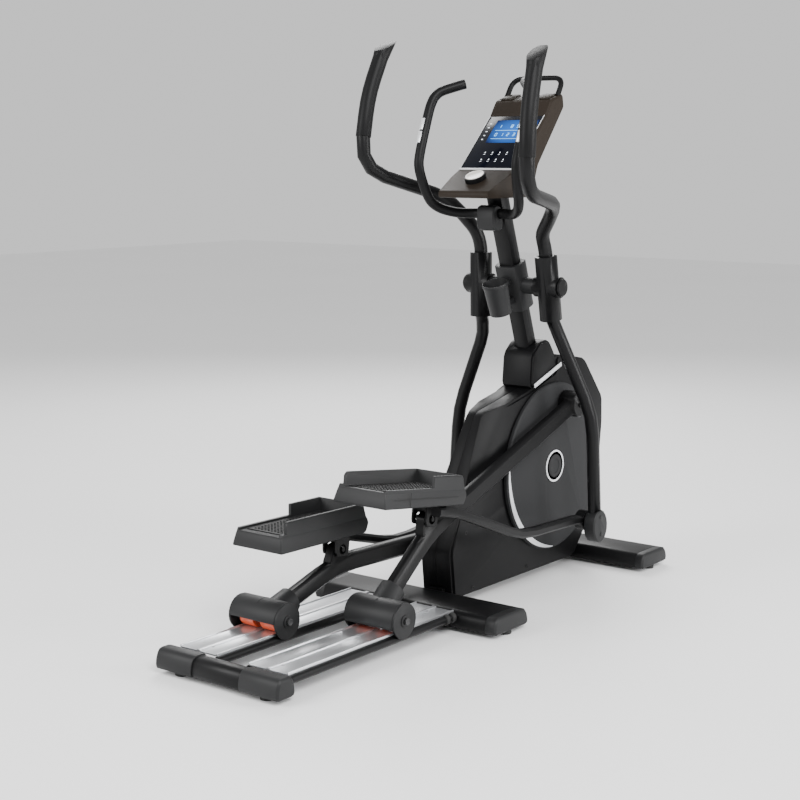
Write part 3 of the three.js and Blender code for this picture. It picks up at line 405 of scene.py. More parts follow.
class Bench:
    """The modelling bench: primitives, edit-mode shaping, and the finishing of each piece."""

    def __init__(self, finishes: Finishes) -> None:
        """Keeps the finishes and counts the pieces made.

        Args:
            finishes: the finishes that the pieces are dressed in.
        """
        self.finishes = finishes
        self.count = 0

    @staticmethod
    def clear() -> None:
        """Leaves edit mode and deselects everything."""
        if bpy.context.object and bpy.context.object.mode != "OBJECT":
            bpy.ops.object.mode_set(mode="OBJECT")
        bpy.ops.object.select_all(action="DESELECT")

    def pick(self, piece: bpy.types.Object) -> None:
        """Makes one object the only one selected, and active."""
        self.clear()
        piece.select_set(True)
        bpy.context.view_layer.objects.active = piece

    def cylinder(
        self, radius: float, length: float, centre: Sequence[float], axis: Axis = Axis.Y, sides: int = 48
    ) -> bpy.types.Object:
        """A round bar with its place in its mesh.

        Args:
            radius: its radius.
            length: its length.
            centre: its middle.
            axis: the way it points.
            sides: its sides.

        Returns:
            The new object.
        """
        self.clear()
        bpy.ops.mesh.primitive_cylinder_add(
            vertices=sides, radius=radius, depth=length, location=centre, rotation=axis.turn()
        )
        return self.settle()

    def box(self, size: Sequence[float], centre: Sequence[float]) -> bpy.types.Object:
        """A block with its place in its mesh.

        Args:
            size: its three sizes.
            centre: its middle.

        Returns:
            The new object.
        """
        self.clear()
        bpy.ops.mesh.primitive_cube_add(size=1, location=centre)
        bpy.context.object.scale = size
        return self.settle()

    def settle(self) -> bpy.types.Object:
        """Puts the active object's place, turn and scale into its mesh.

        Returns:
            The object.
        """
        bpy.ops.object.transform_apply(location=True, rotation=True, scale=True)
        return bpy.context.object

    def choose(self, piece: bpy.types.Object, test: Callable[[bpy.types.MeshPolygon], bool]) -> None:
        """Enters edit mode with only the faces that pass a test selected.

        Args:
            piece: the object.
            test: says whether a face is wanted.
        """
        self.pick(piece)
        bpy.ops.object.mode_set(mode="EDIT")
        bpy.ops.mesh.select_mode(type="FACE")
        bpy.ops.mesh.select_all(action="DESELECT")
        bpy.ops.object.mode_set(mode="OBJECT")
        for face in piece.data.polygons:
            face.select = test(face)
        bpy.ops.object.mode_set(mode="EDIT")

    @staticmethod
    def facing(way: Vector, least: float = 0.9) -> Callable[[bpy.types.MeshPolygon], bool]:
        """A test for faces that point one way.

        Args:
            way: the direction.
            least: the smallest cosine that passes.

        Returns:
            The test.
        """
        return lambda face: face.normal.dot(way) > least

    def step(self, piece: bpy.types.Object, way: Vector, inset: float, push: float) -> bpy.types.Object:
        """Insets the faces that point one way, then pushes the inset face out, or in if negative.

        Args:
            piece: the object.
            way: the direction of the faces.
            inset: the width left round them.
            push: how far they move along the direction.

        Returns:
            The object.
        """
        self.choose(piece, self.facing(way))
        bpy.ops.mesh.inset(thickness=inset)
        shift = way.normalized() * push
        bpy.ops.mesh.extrude_region_move(TRANSFORM_OT_translate={"value": shift})
        bpy.ops.object.mode_set(mode="OBJECT")
        return piece

    def modify(self, piece: bpy.types.Object, kind: str, **settings: object) -> None:
        """Applies one modifier.

        Args:
            piece: the object.
            kind: the modifier's type.
            settings: its properties.
        """
        self.pick(piece)
        modifier = piece.modifiers.new(kind.lower(), kind)
        for key, value in settings.items():
            setattr(modifier, key, value)
        bpy.ops.object.modifier_apply(modifier=modifier.name)

    @contextmanager
    def editing(self, piece: bpy.types.Object, action: str = "SELECT") -> Iterator[None]:
        """Holds one object in edit mode, with all of its mesh selected or none.

        Args:
            piece: the object.
            action: SELECT or DESELECT.

        Returns:
            The context, which goes back to object mode at its end.
        """
        self.pick(piece)
        bpy.ops.object.mode_set(mode="EDIT")
        bpy.ops.mesh.select_all(action=action)
        yield
        bpy.ops.object.mode_set(mode="OBJECT")

    def keep_above(self, piece: bpy.types.Object, point: Sequence[float], normal: Sequence[float]) -> None:
        """Cuts off what lies behind a plane and closes the cut.

        Args:
            piece: the object.
            point: a point on the plane.
            normal: the way that the kept part lies.
        """
        with self.editing(piece):
            bpy.ops.mesh.bisect(plane_co=point, plane_no=normal, use_fill=True, clear_inner=True)

    def step_ends(self, piece: bpy.types.Object, way: Vector, inset: float, push: float) -> None:
        """Steps the faces at both ends of a piece.

        Args:
            piece: the object.
            way: the direction of one end.
            inset: the width left round each end.
            push: how far each end moves outwards.
        """
        for end in (way, -way):
            self.step(piece, end, inset, push)

    def soften(self, piece: bpy.types.Object, width: float, segments: int = 2, angle: float = 40.0) -> None:
        """Rounds the sharp edges.

        Args:
            piece: the object.
            width: the rounding's width.
            segments: its steps.
            angle: edges sharper than this, in degrees, are rounded.
        """
        self.modify(
            piece, "BEVEL", width=width, segments=segments, limit_method="ANGLE",
            angle_limit=math.radians(angle),
        )

    def repeat(self, piece: bpy.types.Object, count: int, offset: Sequence[float]) -> None:
        """Repeats a piece along an offset.

        Args:
            piece: the object.
            count: how many there are in all.
            offset: from one to the next.
        """
        self.modify(
            piece, "ARRAY", use_relative_offset=False, use_constant_offset=True,
            constant_offset_displace=offset, count=count,
        )

    def merge(self, pieces: Sequence[bpy.types.Object]) -> bpy.types.Object:
        """Joins several objects into the first.

        Args:
            pieces: the objects.

        Returns:
            The joined object.
        """
        self.clear()
        for piece in pieces:
            piece.select_set(True)
        bpy.context.view_layer.objects.active = pieces[0]
        bpy.ops.object.join()
        return pieces[0]

    def carry(self, piece: bpy.types.Object, place: Matrix) -> bpy.types.Object:
        """Moves a piece's mesh by a matrix.

        Args:
            piece: the object.
            place: where its own frame goes.

        Returns:
            The object.
        """
        piece.data.transform(place)
        return piece

    def done(
        self, piece: bpy.types.Object | list[bpy.types.Object], name: str, finish: str, body: str,
        slot: str, angle: float = 35.0
    ) -> bpy.types.Object:
        """Names, shades and dresses a finished piece, and sets the body it rides on.

        Args:
            piece: the object, or several to join into one.
            name: its name.
            finish: its finish.
            body: the body it moves with.
            slot: the record's material slot it goes with; not used.
            angle: edges sharper than this, in degrees, stay sharp.

        Returns:
            The object.
        """
        if isinstance(piece, list):
            piece = self.merge(piece)
        self.pick(piece)
        piece.name = name
        bpy.ops.object.shade_smooth_by_angle(angle=math.radians(angle))
        piece.data.materials.clear()
        piece.data.materials.append(self.finishes[finish])
        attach(piece, body)
        self.count += 1
        LOG.info("%s: %d faces, rides %s", name, len(piece.data.polygons), body)
        return piece


# ---- The CAD pieces ---------------------------------------------------------------------------------


@dataclass
class Skin:
    """The dressed surface of one CAD node: its own mesh, closed up, with rounded edges."""

    node: str
    finish: str
    rounding: float = 0.0
    smooth: float = 42.0
    rounder: bool = False

    def build(self, bench: Bench, record: dict) -> bpy.types.Object:
        """Makes the surface and has it stand for the node.

        Args:
            bench: the modelling bench.
            record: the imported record.

        Returns:
            The new object.
        """
        source = frame["nodes"][self.node]
        piece = bpy.data.objects.new(self.node + "_skin", source.data.copy())
        bpy.context.scene.collection.objects.link(piece)
        with bench.editing(piece):
            bpy.ops.mesh.remove_doubles(threshold=0.02 * MM)
            if self.rounder:
                bpy.ops.mesh.tris_convert_to_quads()
            else:
                bpy.ops.mesh.dissolve_limited(angle_limit=math.radians(0.8))
        if self.rounder:
            self.make_round(bench, piece)
        if self.rounding:
            bench.soften(piece, self.rounding, 2, 38.0)
        body = next(b for b, nodes in record["behaviour"]["bodies"].items() if self.node in nodes)
        slot = next(p["material_slot"] for p in record["subparts"] if p["node"] == self.node)
        bench.done(piece, self.node + "_skin", self.finish, body, slot, self.smooth)
        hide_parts(self.node)
        return piece

    @staticmethod
    def make_round(bench: Bench, piece: bpy.types.Object) -> None:
        """Subdivides a tube so that its flats close up to a round, keeping its ends sharp.

        Args:
            bench: the modelling bench.
            piece: the tube.
        """
        with bench.editing(piece, "DESELECT"):
            bpy.ops.mesh.select_mode(type="EDGE")
            bpy.ops.mesh.edges_select_sharp(sharpness=math.radians(50))
            bpy.ops.transform.edge_crease(value=1.0)
        bench.modify(piece, "SUBSURF", levels=2, render_levels=2)


@dataclass
class CadDress:
    """The finish of every CAD node: what it is dressed in and how its edges are rounded."""

    black: tuple[str, ...] = ("main_frame", "mast", "swing_axle")
    soft_black: tuple[str, ...] = ("rear_stabilizer", "mid_stabilizer", "front_stabilizer")
    covers: tuple[str, ...] = ("mast_collar", "bottle_holder", "handlebar_clamp")
    sided_tubes: tuple[str, ...] = ("handlebar", "swing_arm")
    sided_black: tuple[str, ...] = ("rail_tubes", "pedal_arm", "foot_link")
    sided_covers: tuple[str, ...] = (
        "rear_cap", "mid_cap", "front_cap", "carriage", "bearing_cover", "footplate",
    )

    def plan(self) -> list[Skin]:
        """Lists the skin of each node.

        Returns:
            The skins.
        """
        edge = 1.2 * MM
        skins = [Skin(name, "frame_paint") for name in self.black]
        skins += [Skin(name, "frame_paint", edge) for name in self.soft_black]
        skins += [Skin(name, "charcoal_cover", edge) for name in self.covers]
        skins += [
            Skin("fixed_handlebar", "foam_grip", rounder=True),
            Skin("console_body", "console_bronze", 1.5 * MM),
            Skin("console_screen", "screen_glass", 0.5 * MM),
            Skin("console_handle", "black_shell", rounder=True),
            Skin("casing_neck", "black_shell", edge),
            Skin("crank_axle", "bare_steel"),
            Skin("drive_pulley", "flywheel_iron"),
            Skin("flywheel", "flywheel_iron"),
            Skin("drive_belt", "foot_rubber"),
        ]
        for side in SIDES:
            skins += [Skin(f"{name}_{side}", "frame_paint", smooth=48.0) for name in self.sided_tubes]
            skins += [Skin(f"{name}_{side}", "frame_paint") for name in self.sided_black]
            skins += [Skin(f"{name}_{side}", "charcoal_cover", edge) for name in self.sided_covers]
            skins += [Skin(f"{foot}_foot_{side}", "foot_rubber", edge) for foot in ("rear", "mid", "front")]
            skins += [
                Skin(f"casing_{side}", "black_shell", edge),
                Skin(f"crank_disc_{side}", "disc_grey", 0.8 * MM),
                Skin(f"rail_track_{side}", "rail_aluminium", 0.5 * MM),
                Skin(f"roller_axle_{side}", "bare_steel"),
                Skin(f"grip_{side}", "foam_grip", 2.5 * MM, 40.0),
            ]
        return skins

    def build(self, bench: Bench) -> None:
        """Dresses every node.

        Args:
            bench: the modelling bench.
        """
        for skin in self.plan():
            skin.build(bench, frame["record"])


# ---- Console ------------------------------------------------------------------------------------------


@dataclass
class Tilted:
    """A flat place on the machine with its own frame: U up the slope, V to the user's left, W out."""

    origin: Vector
    pitch: float

    def matrix(self) -> Matrix:
        """The frame's place as a matrix."""
        return Matrix.Translation(self.origin) @ Matrix.Rotation(-self.pitch, 4, "Y")


@dataclass
class Trim:
    """The trim of one sub-assembly, made on the shared bench."""

    bench: Bench


@dataclass
class ConsoleTrim(Trim):
    """The console's display, touch marks, edge lines, top tabs and jog wheel."""

    glass: float = 3 * MM
    panel: tuple[float, float] = (98 * MM, 156 * MM)
    panel_low: float = 108 * MM
    panel_shift: float = -16 * MM
    digit_height: float = 12 * MM
    digit_pitch: float = 22 * MM
    icon: float = 5 * MM
    wheel_height: float = 14.6 * MM
    tab_slope: float = math.radians(17.3)

    @classmethod
    def screen(cls) -> Tilted:
        """The frame of the glass, from the middle of its lower edge.

        Returns:
            The frame.
        """
        low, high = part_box("console_screen")
        rise = math.atan2(high.z - low.z, high.x - low.x)
        return Tilted(Vector((low.x, 0, low.z + cls.glass * math.cos(rise))), rise)

    @classmethod
    def display_centre(cls) -> Vector:
        """The middle of the lit display."""
        return cls.screen().matrix() @ Vector((cls.panel_low + cls.panel[0] / 2, cls.panel_shift, 0))

    def lay(
        self, size: Sequence[float], at: Sequence[float], place: Tilted
    ) -> bpy.types.Object:
        """A thin bar laid on a tilted face.

        Args:
            size: its sizes along U and V, and its thickness.
            at: its middle along U and V.
            place: the face's frame.

        Returns:
            The new object.
        """
        bar = self.bench.box((size[0], size[1], size[2]), (at[0], at[1], size[2] / 2))
        return self.bench.carry(bar, place.matrix())

    def segments(self, u: float, v: float, tall: float, lit: str) -> list[bpy.types.Object]:
        """The lit bars of one seven-bar figure.

        Args:
            u: its middle up the slope.
            v: its middle across.
            tall: its height.
            lit: which bars are lit, from a to g.

        Returns:
            The bars.
        """
        wide = tall * 0.55
        thick = tall * 0.14
        half = tall / 4
        across, upright = (thick, wide), (half * 1.7, thick)
        bars = {
            "a": ((tall / 2, 0), across),
            "g": ((0, 0), across),
            "d": ((-tall / 2, 0), across),
            "f": ((half, wide / 2), upright),
            "b": ((half, -wide / 2), upright),
            "e": ((-half, wide / 2), upright),
            "c": ((-half, -wide / 2), upright),
        }
        made = []
        for name in lit:
            (du, dv), (su, sv) = bars[name]
            made.append(self.lay((su, sv, 0.5 * MM), (u + du, v + dv), self.lifted()))
        return made

    def lifted(self) -> Tilted:
        """The display's own face, just proud of the glass."""
        place = self.screen()
        return Tilted(place.matrix() @ Vector((0, 0, 0.6 * MM)), place.pitch)

    def build(self) -> None:
        """Makes the console's trim."""
        place = self.screen()
        low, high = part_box("console_screen")
        run = (high.z - low.z) / math.sin(place.pitch)
        middle = self.panel_low + self.panel[0] / 2
        panel = self.lay((*self.panel, 0.7 * MM), (middle, self.panel_shift), place)
        self.bench.soften(panel, 0.3 * MM, 1)
        self.bench.done(panel, "display_panel", "display_glow", "frame", "screen_glass")
        figures = []
        rows = {
            middle + 22 * MM: ["bc", "", "abcdefg", "acdfg", "bcfg", ""],
            middle - 14 * MM: ["abcdef", "bc", "abged", "abcdg", "bcfg", "acdfg"],
        }
        for u, lits in rows.items():
            for index, lit in enumerate(lits):
                v = (2.5 - index) * self.digit_pitch + self.panel_shift
                if lit:
                    figures += self.segments(u, v, self.digit_height, lit)
        for u in (middle + 4 * MM, middle - 32 * MM):
            figures.append(self.lay((1.2 * MM, 132 * MM, 0.5 * MM), (u, self.panel_shift), self.lifted()))
        self.bench.done(figures, "display_figures", "display_digits", "frame", "screen_glass")
        self.icons(place, middle)
        self.edges(place, run)
        self.wheel()
        self.tabs()

    def icons(self, place: Tilted, middle: float) -> None:
        """The printed marks left of the display and the touch marks below it.

        Args:
            place: the glass's frame.
            middle: the display's middle up the slope.
        """
        marks = []
        for index in range(5):
            u = middle + (2 - index) * 17 * MM
            marks.append(self.lay((3 * MM, 6.5 * MM, 0.5 * MM), (u, 81 * MM), place))
        for row in range(2):
            for column in range(4):
                at = (66 * MM - row * 30 * MM, (1.5 - column) * 27 * MM)
                marks.append(self.lay((self.icon, self.icon * 0.7, 0.5 * MM), at, place))
                under = (at[0] - 8 * MM, at[1])
                marks.append(self.lay((1.4 * MM, self.icon * 1.2, 0.5 * MM), under, place))
        for mark in marks:
            self.bench.soften(mark, 0.2 * MM, 1)
        self.bench.done(marks, "touch_marks", "icon_light", "frame", "screen_glass")

    def edges(self, place: Tilted, run: float) -> None:
        """The bright lines below the glass and along its two long sides.

        Args:
            place: the glass's frame.
            run: the glass's length up the slope.
        """
        low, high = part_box("console_screen")
        half = (high.y - low.y) / 2
        lines = [self.lay((7 * MM, 2 * half + 8 * MM, 1.2 * MM), (-4.5 * MM, 0), place)]
        for sign in SIDES.values():
            lines.append(
                self.lay((run, 2 * MM, 1.2 * MM), (run / 2, sign * (half + 2.2 * MM)), place)
            )
        for line in lines:
            self.bench.soften(line, 0.4 * MM, 2)
        self.bench.done(lines, "console_edge_lines", "silver_trim", "frame", "console_bronze")

    def tabs(self) -> None:
        """The two lighter tabs on the console's top."""
        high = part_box("console_body")[1]
        half = high.y - 4 * MM
        top = Tilted(Vector((high.x - 66 * MM, 0, high.z - 13.4 * MM)), self.tab_slope)
        tabs = []
        for sign in SIDES.values():
            tab = self.bench.box((52 * MM, 46 * MM, 3 * MM), (26 * MM, sign * (half - 36 * MM), -0.2 * MM))
            self.bench.step(tab, UP, 4 * MM, 1 * MM)
            self.bench.soften(tab, 1 * MM, 2)
            tabs.append(self.bench.carry(tab, top.matrix()))
        self.bench.done(tabs, "console_top_tabs", "cap_taupe", "frame", "console_bronze")

    def wheel(self) -> None:
        """The jog wheel: a ribbed black rim with a pale dished face."""
        joint = next(j for j in frame["joints"] if j["name"] == "knob_turn")
        axis = Vector(joint["axis"]).normalized()
        low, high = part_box("console_knob")
        pitch = math.atan2(-axis.x, axis.z)
        radius = (high.y - low.y) / 2
        centre = (low + high) / 2
        place = Tilted(centre, pitch)
        tall = self.wheel_height
        rim = self.bench.cylinder(radius - 0.5 * MM, tall, (0, 0, 0), Axis.Z, 72)
        self.bench.step(rim, UP, 3.5 * MM, -1.2 * MM)
        self.bench.choose(rim, lambda face: abs(face.normal.z) < 0.3 and face.index % 2 == 0)
        bpy.ops.mesh.inset(thickness=0.5 * MM, depth=-0.5 * MM, use_individual=True)
        bpy.ops.object.mode_set(mode="OBJECT")
        self.bench.carry(rim, place.matrix())
        self.bench.done(rim, "jog_wheel", "black_shell", "knob", "knob_cream")
        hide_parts("console_knob")
        face = self.bench.cylinder(radius - 4.6 * MM, 3 * MM, (0, 0, tall / 2 - 0.6 * MM), Axis.Z, 64)
        self.bench.step(face, UP, 4 * MM, -0.8 * MM)
        self.bench.soften(face, 0.5 * MM, 2)
        self.bench.carry(face, place.matrix())
        self.bench.done(face, "jog_wheel_face", "knob_cream", "knob", "knob_cream")


# ---- Crank discs --------------------------------------------------------------------------------------


@dataclass
class DiscTrim(Trim):
    """The trim of one crank disc: its hub ring, its cap, and a silver crescent along part of its rim that is a
    painted highlight of the light catching the rim.
    """

    side: str
    ring: float = 52 * MM
    ring_width: float = 6 * MM
    # The crescent sizes below shape a painted highlight on the rim, not a trim band.
    highlight_width: float = 19 * MM
    highlight_start: float = 172.0
    highlight_end: float = 268.0
    highlight_inset: float = 5.5 * MM
    highlight_thick: float = 1.2 * MM
    highlight_steps: int = 36
    face: float = 78 * MM

    def build(self) -> None:
        """Makes the trim."""
        sign = SIDES[self.side]
        crank = next(j for j in frame["joints"] if j["name"] == "crank_spin")
        centre = Vector(crank["pos_m"])
        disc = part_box(f"crank_disc_{self.side}")
        radius = (disc[1].x - disc[0].x) / 2
        face = sign * self.face
        out = LEFT * sign
        ring = self.bench.cylinder(self.ring, 2 * MM, (centre.x, face, centre.z), Axis.Y, 72)
        self.bench.step(ring, out, self.ring_width, -1.6 * MM)
        self.bench.soften(ring, 0.4 * MM, 2)
        self.bench.done(ring, f"hub_ring_{self.side}", "white_print", "crank", "disc_grey")
        spot = (centre.x, face - sign * 3.2 * MM, centre.z)
        cap = self.bench.cylinder(self.ring - self.ring_width, 7 * MM, spot)
        self.bench.step(cap, out, 9 * MM, 1.2 * MM)
        self.bench.step(cap, out, 14 * MM, -1.5 * MM)
        self.bench.soften(cap, 0.8 * MM, 2, 25.0)
        self.bench.done(cap, f"hub_cap_{self.side}", "disc_grey", "crank", "disc_grey")
        self.paint_rim_highlight(centre, radius - self.highlight_inset, face, sign)

    def paint_rim_highlight(self, centre: Vector, outer: float, face: float, sign: int) -> None:
        """The painted highlight: a silver crescent that stands in for the light along the rim, widest at its
        middle, spun from a short bar.

        Args:
            centre: the disc's centre.
            outer: the painted highlight's outer radius.
            face: the disc face's place across.
            sign: one for the left, minus one for the right.
        """
        thick = self.highlight_thick
        middle = outer - self.highlight_width / 2
        bar = self.bench.box((1 * MM, thick, self.highlight_width), (0, face + sign * thick / 2, middle))
        sweep = math.radians(self.highlight_end - self.highlight_start)
        self.bench.choose(bar, self.bench.facing(Vector((-1, 0, 0))))
        bpy.ops.mesh.spin(steps=self.highlight_steps, angle=sweep, center=(0, 0, 0), axis=(0, 1, 0))
        bpy.ops.object.mode_set(mode="OBJECT")
        for vertex in bar.data.vertices:
            around = math.atan2(-vertex.co.x, vertex.co.z) / sweep
            reach = math.hypot(vertex.co.x, vertex.co.z)
            taper = max(0.12, math.sin(math.pi * min(max(around, 0.0), 1.0)) ** 0.6)
            if reach < middle:
                wanted = outer - self.highlight_width * taper
                vertex.co.x *= wanted / reach
                vertex.co.z *= wanted / reach
        with self.bench.editing(bar):
            bpy.ops.mesh.remove_doubles(threshold=0.01 * MM)
            bpy.ops.mesh.normals_make_consistent(inside=False)
        turn = math.radians(90 - self.highlight_start)
        self.bench.carry(bar, Matrix.Translation((centre.x, 0, centre.z)) @ Matrix.Rotation(turn, 4, "Y"))
        # Painted highlight: this silver crescent stands in for light caught along the disc's rim.
        self.bench.done(bar, f"rim_highlight_{self.side}", "silver_trim", "crank", "disc_grey")


# ---- Rails --------------------------------------------------------------------------------------------


@dataclass
class RailEnds(Trim):
    """The rubber bumpers pushed on to one side's rail tubes, and the screws that hold its track."""

    side: str
    tube: float = 12 * MM
    bumper_wall: float = 3.5 * MM
    length: float = 24 * MM
    screw_room: float = 46 * MM

    def build(self) -> None:
        """Makes the bumpers and the screws."""
        low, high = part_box(f"rail_tubes_{self.side}")
        middle = (low.z + high.z) / 2
        bumpers = []
        for y in (low.y + self.tube, high.y - self.tube):
            for x in (high.x - self.length / 2 - 1 * MM, high.x - self.length * 1.7):
                spot = (x, y, middle)
                bumper = self.bench.cylinder(
                    self.tube + self.bumper_wall, self.length * 0.6, spot, Axis.X, 32
                )
                self.bench.step_ends(bumper, FORWARD, 2 * MM, 1 * MM)
                self.bench.soften(bumper, 1.2 * MM, 2)
                bumpers.append(bumper)
        self.bench.done(bumpers, f"rail_bumpers_{self.side}", "foot_rubber", "frame", "foot_rubber")
        self.screws()

    def screws(self) -> None:
        """The countersunk screws along the track."""
        low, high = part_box(f"rail_track_{self.side}")
        top = high.z - 4 * MM
        middle = (low.y + high.y) / 2
        heads = []
        for x in (low.x + self.screw_room, high.x - self.screw_room):
            for offset in (-10 * MM, 10 * MM):
                head = self.bench.cylinder(4.5 * MM, 1.6 * MM, (x, middle + offset, top), Axis.Z, 20)
                self.bench.step(head, UP, 2 * MM, -0.8 * MM)
                heads.append(head)
        self.bench.done(heads, f"track_screws_{self.side}", "bare_steel", "frame", "rail_aluminium")


# ---- Casing -------------------------------------------------------------------------------------------


@dataclass
class CasingTrim(Trim):
    """The accent strip, accent mark and screws on one side of the casing."""

    side: str
    strip_start: tuple[float, float] = (470 * MM, 634 * MM)
    strip_end: tuple[float, float] = (628 * MM, 690 * MM)
    strip_width: float = 13 * MM
    depth: float = 2.4 * MM
    sunk: float = 0.4 * MM
    mark: tuple[float, float] = (686 * MM, 668 * MM)
    mark_size: tuple[float, float] = (6 * MM, 24 * MM)
    screws: tuple[tuple[float, float], ...] = ((100 * MM, 227 * MM), (139 * MM, 48 * MM), (439 * MM, 52 * MM))

    def build(self) -> None:
        """Makes the trim."""
        sign = SIDES[self.side]
        low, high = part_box(f"casing_{self.side}")
        face = high.y if sign > 0 else low.y
        start, end = Vector(self.strip_start), Vector(self.strip_end)
        along = end - start
        strip = self.bench.box((along.length, self.depth, self.strip_width), (along.length / 2, 0, 0))
        self.bench.step(strip, Vector((0, sign, 0)), 1.6 * MM, 0.5 * MM)
        self.bench.soften(strip, 0.5 * MM, 2)
        place = Matrix.Translation((start.x, face - sign * self.sunk, start.y))
        self.bench.carry(strip, place @ Matrix.Rotation(-math.atan2(along.y, along.x), 4, "Y"))
        self.bench.done(strip, f"accent_strip_{self.side}", "silver_trim", "frame", "black_shell")
        tall = self.bench.box((self.mark_size[0], self.depth, self.mark_size[1]), (0, 0, 0))
        self.bench.soften(tall, 0.5 * MM, 2)
        self.bench.carry(tall, Matrix.Translation((self.mark[0], face - sign * self.sunk, self.mark[1])))
        self.bench.done(tall, f"accent_mark_{self.side}", "silver_trim", "frame", "black_shell")
        heads = []
        for x, z in self.screws:
            head = self.bench.cylinder(6 * MM, 3 * MM, (x, face, z), Axis.Y, 24)
            self.bench.step(head, Vector((0, sign, 0)), 2.6 * MM, -1.6 * MM)
            self.bench.soften(head, 0.5 * MM, 2)
            heads.append(head)
        self.bench.done(heads, f"casing_screws_{self.side}", "seam_black", "frame", "black_shell")


# ---- Footplates, rollers and handles ------------------------------------------------------------------


@dataclass
class Tread(Trim):
    """The ribbed rubber tread that lies in one footplate, with its studs and edge seam."""

    side: str
    pitch_along: float = 13 * MM
    pitch_across: float = 12 * MM
    stud: float = 3.6 * MM
    margin: float = 9 * MM
    end_room: float = 46 * MM

    def floor(self) -> tuple[Vector, Vector, float, float]:
        """Finds the tray's floor from the CAD node's own faces.

        Returns:
            The floor's middle, its direction forwards, its length and its width.
        """
        mesh = frame["nodes"][f"footplate_{self.side}"].data
        flat = [face for face in mesh.polygons if face.normal.z > 0.95]
        widest: dict[int, list] = {}
        for face in flat:
            normal = face.normal
            key = round(normal.dot(Vector(face.center)) / (0.4 * MM))
            widest.setdefault(key, []).append(face)
        group = max(widest.values(), key=lambda faces: sum(face.area for face in faces))
        corners = [mesh.vertices[index].co for face in group for index in face.vertices]
        normal = group[0].normal.copy()
        forward = Vector((normal.z, 0, -normal.x)).normalized()
        spans = [corner.dot(forward) for corner in corners]
        across = [corner.y for corner in corners]
        level = normal.dot(corners[0])
        middle = forward * ((min(spans) + max(spans)) / 2) + normal * level
        middle.y = (min(across) + max(across)) / 2
        return middle, forward, max(spans) - min(spans), max(across) - min(across)

    def build(self) -> None:
        """Makes the tread."""
        middle, forward, length, width = self.floor()
        sign = SIDES[self.side]
        margin = self.margin
        long = length - self.end_room
        mat = self.bench.box((long, width - 2 * margin, 2.4 * MM), (0, 0, 1.2 * MM))
        self.bench.step(mat, UP, 3 * MM, -0.8 * MM)
        self.bench.soften(mat, 0.5 * MM, 2)
        along = int((long - 14 * MM) / self.pitch_along)
        over = int((width - 2 * margin - 12 * MM) / self.pitch_across)
        stud = self.bench.cylinder(self.stud, 1.6 * MM, (0, 0, 0), Axis.Z, 8)
        self.bench.step(stud, UP, 0.9 * MM, 0.5 * MM)
        first = Vector((-(along - 1) / 2 * self.pitch_along, -(over - 1) / 2 * self.pitch_across, 2.2 * MM))
        self.bench.carry(stud, Matrix.Translation(first))
        self.bench.repeat(stud, along, (self.pitch_along, 0, 0))
        self.bench.repeat(stud, over, (0, self.pitch_across, 0))
        pitch = math.atan2(forward.z, forward.x)
        place = Matrix.Translation(middle) @ Matrix.Rotation(-pitch, 4, "Y")
        tread = self.bench.carry(self.bench.merge([mat, stud]), place)
        body = f"foot_link_{self.side}"
        self.bench.done(tread, f"tread_{self.side}", "tread_rubber", body, "charcoal_cover")
        self.seam(place, length, width, sign)

    def seam(self, place: Matrix, length: float, width: float, sign: int) -> None:
        """The dark joint lines on the tray's outer wall, one along it and one slanting across.

        Args:
            place: the floor's frame.
            length: the floor's length.
            width: the floor's width; not used.
            sign: one for the left, minus one for the right.
        """
        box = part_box(f"footplate_{self.side}")
        out = (box[1].y if sign > 0 else box[0].y) - place.translation.y
        low_line = self.bench.box((length * 0.86, 0.8 * MM, 1.6 * MM), (8 * MM, out, -20 * MM))
        slant = self.bench.box((1.8 * MM, 0.8 * MM, 42 * MM), (-length * 0.2, out, -22 * MM))
        for line in (low_line, slant):
            self.bench.soften(line, 0.2 * MM, 1)
        joined = self.bench.carry(self.bench.merge([low_line, slant]), place)
        body = f"foot_link_{self.side}"
        self.bench.done(joined, f"tray_seam_{self.side}", "seam_black", body, "charcoal_cover")


@dataclass
class RollerPair(Trim):
    """One carriage's two rollers: orange tyres with stepped flanks on a dark hub."""

    side: str
    apart: float = 26 * MM
    hub: float = 14 * MM

    def build(self) -> None:
        """Makes the rollers, which stand for the CAD node."""
        low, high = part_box(f"rollers_{self.side}")
        centre = (low + high) / 2
        radius = (high.z - low.z) / 2
        width = (high.y - low.y - self.apart) / 2
        tyres = []
        for sign in (1, -1):
            middle = (centre.x, centre.y + sign * (self.apart + width) / 2, centre.z)
            tyre = self.bench.cylinder(radius - 0.2 * MM, width, middle, Axis.Y, 56)
            self.bench.step_ends(tyre, LEFT, 7 * MM, -3 * MM)
            self.bench.soften(tyre, 2.2 * MM, 3)
            tyres.append(tyre)
        body = node = f"rollers_{self.side}"
        made = self.bench.done(tyres, f"roller_tyres_{self.side}", "roller_orange", body, "roller_orange")
        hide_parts(node)
        hub = self.bench.cylinder(self.hub, high.y - low.y - 4 * MM, centre, Axis.Y, 32)
        self.bench.step_ends(hub, LEFT, 4 * MM, 1.2 * MM)
        self.bench.soften(hub, 0.6 * MM, 2)
        self.bench.done(hub, f"roller_hub_{self.side}", "roller_hub", body, "roller_orange")


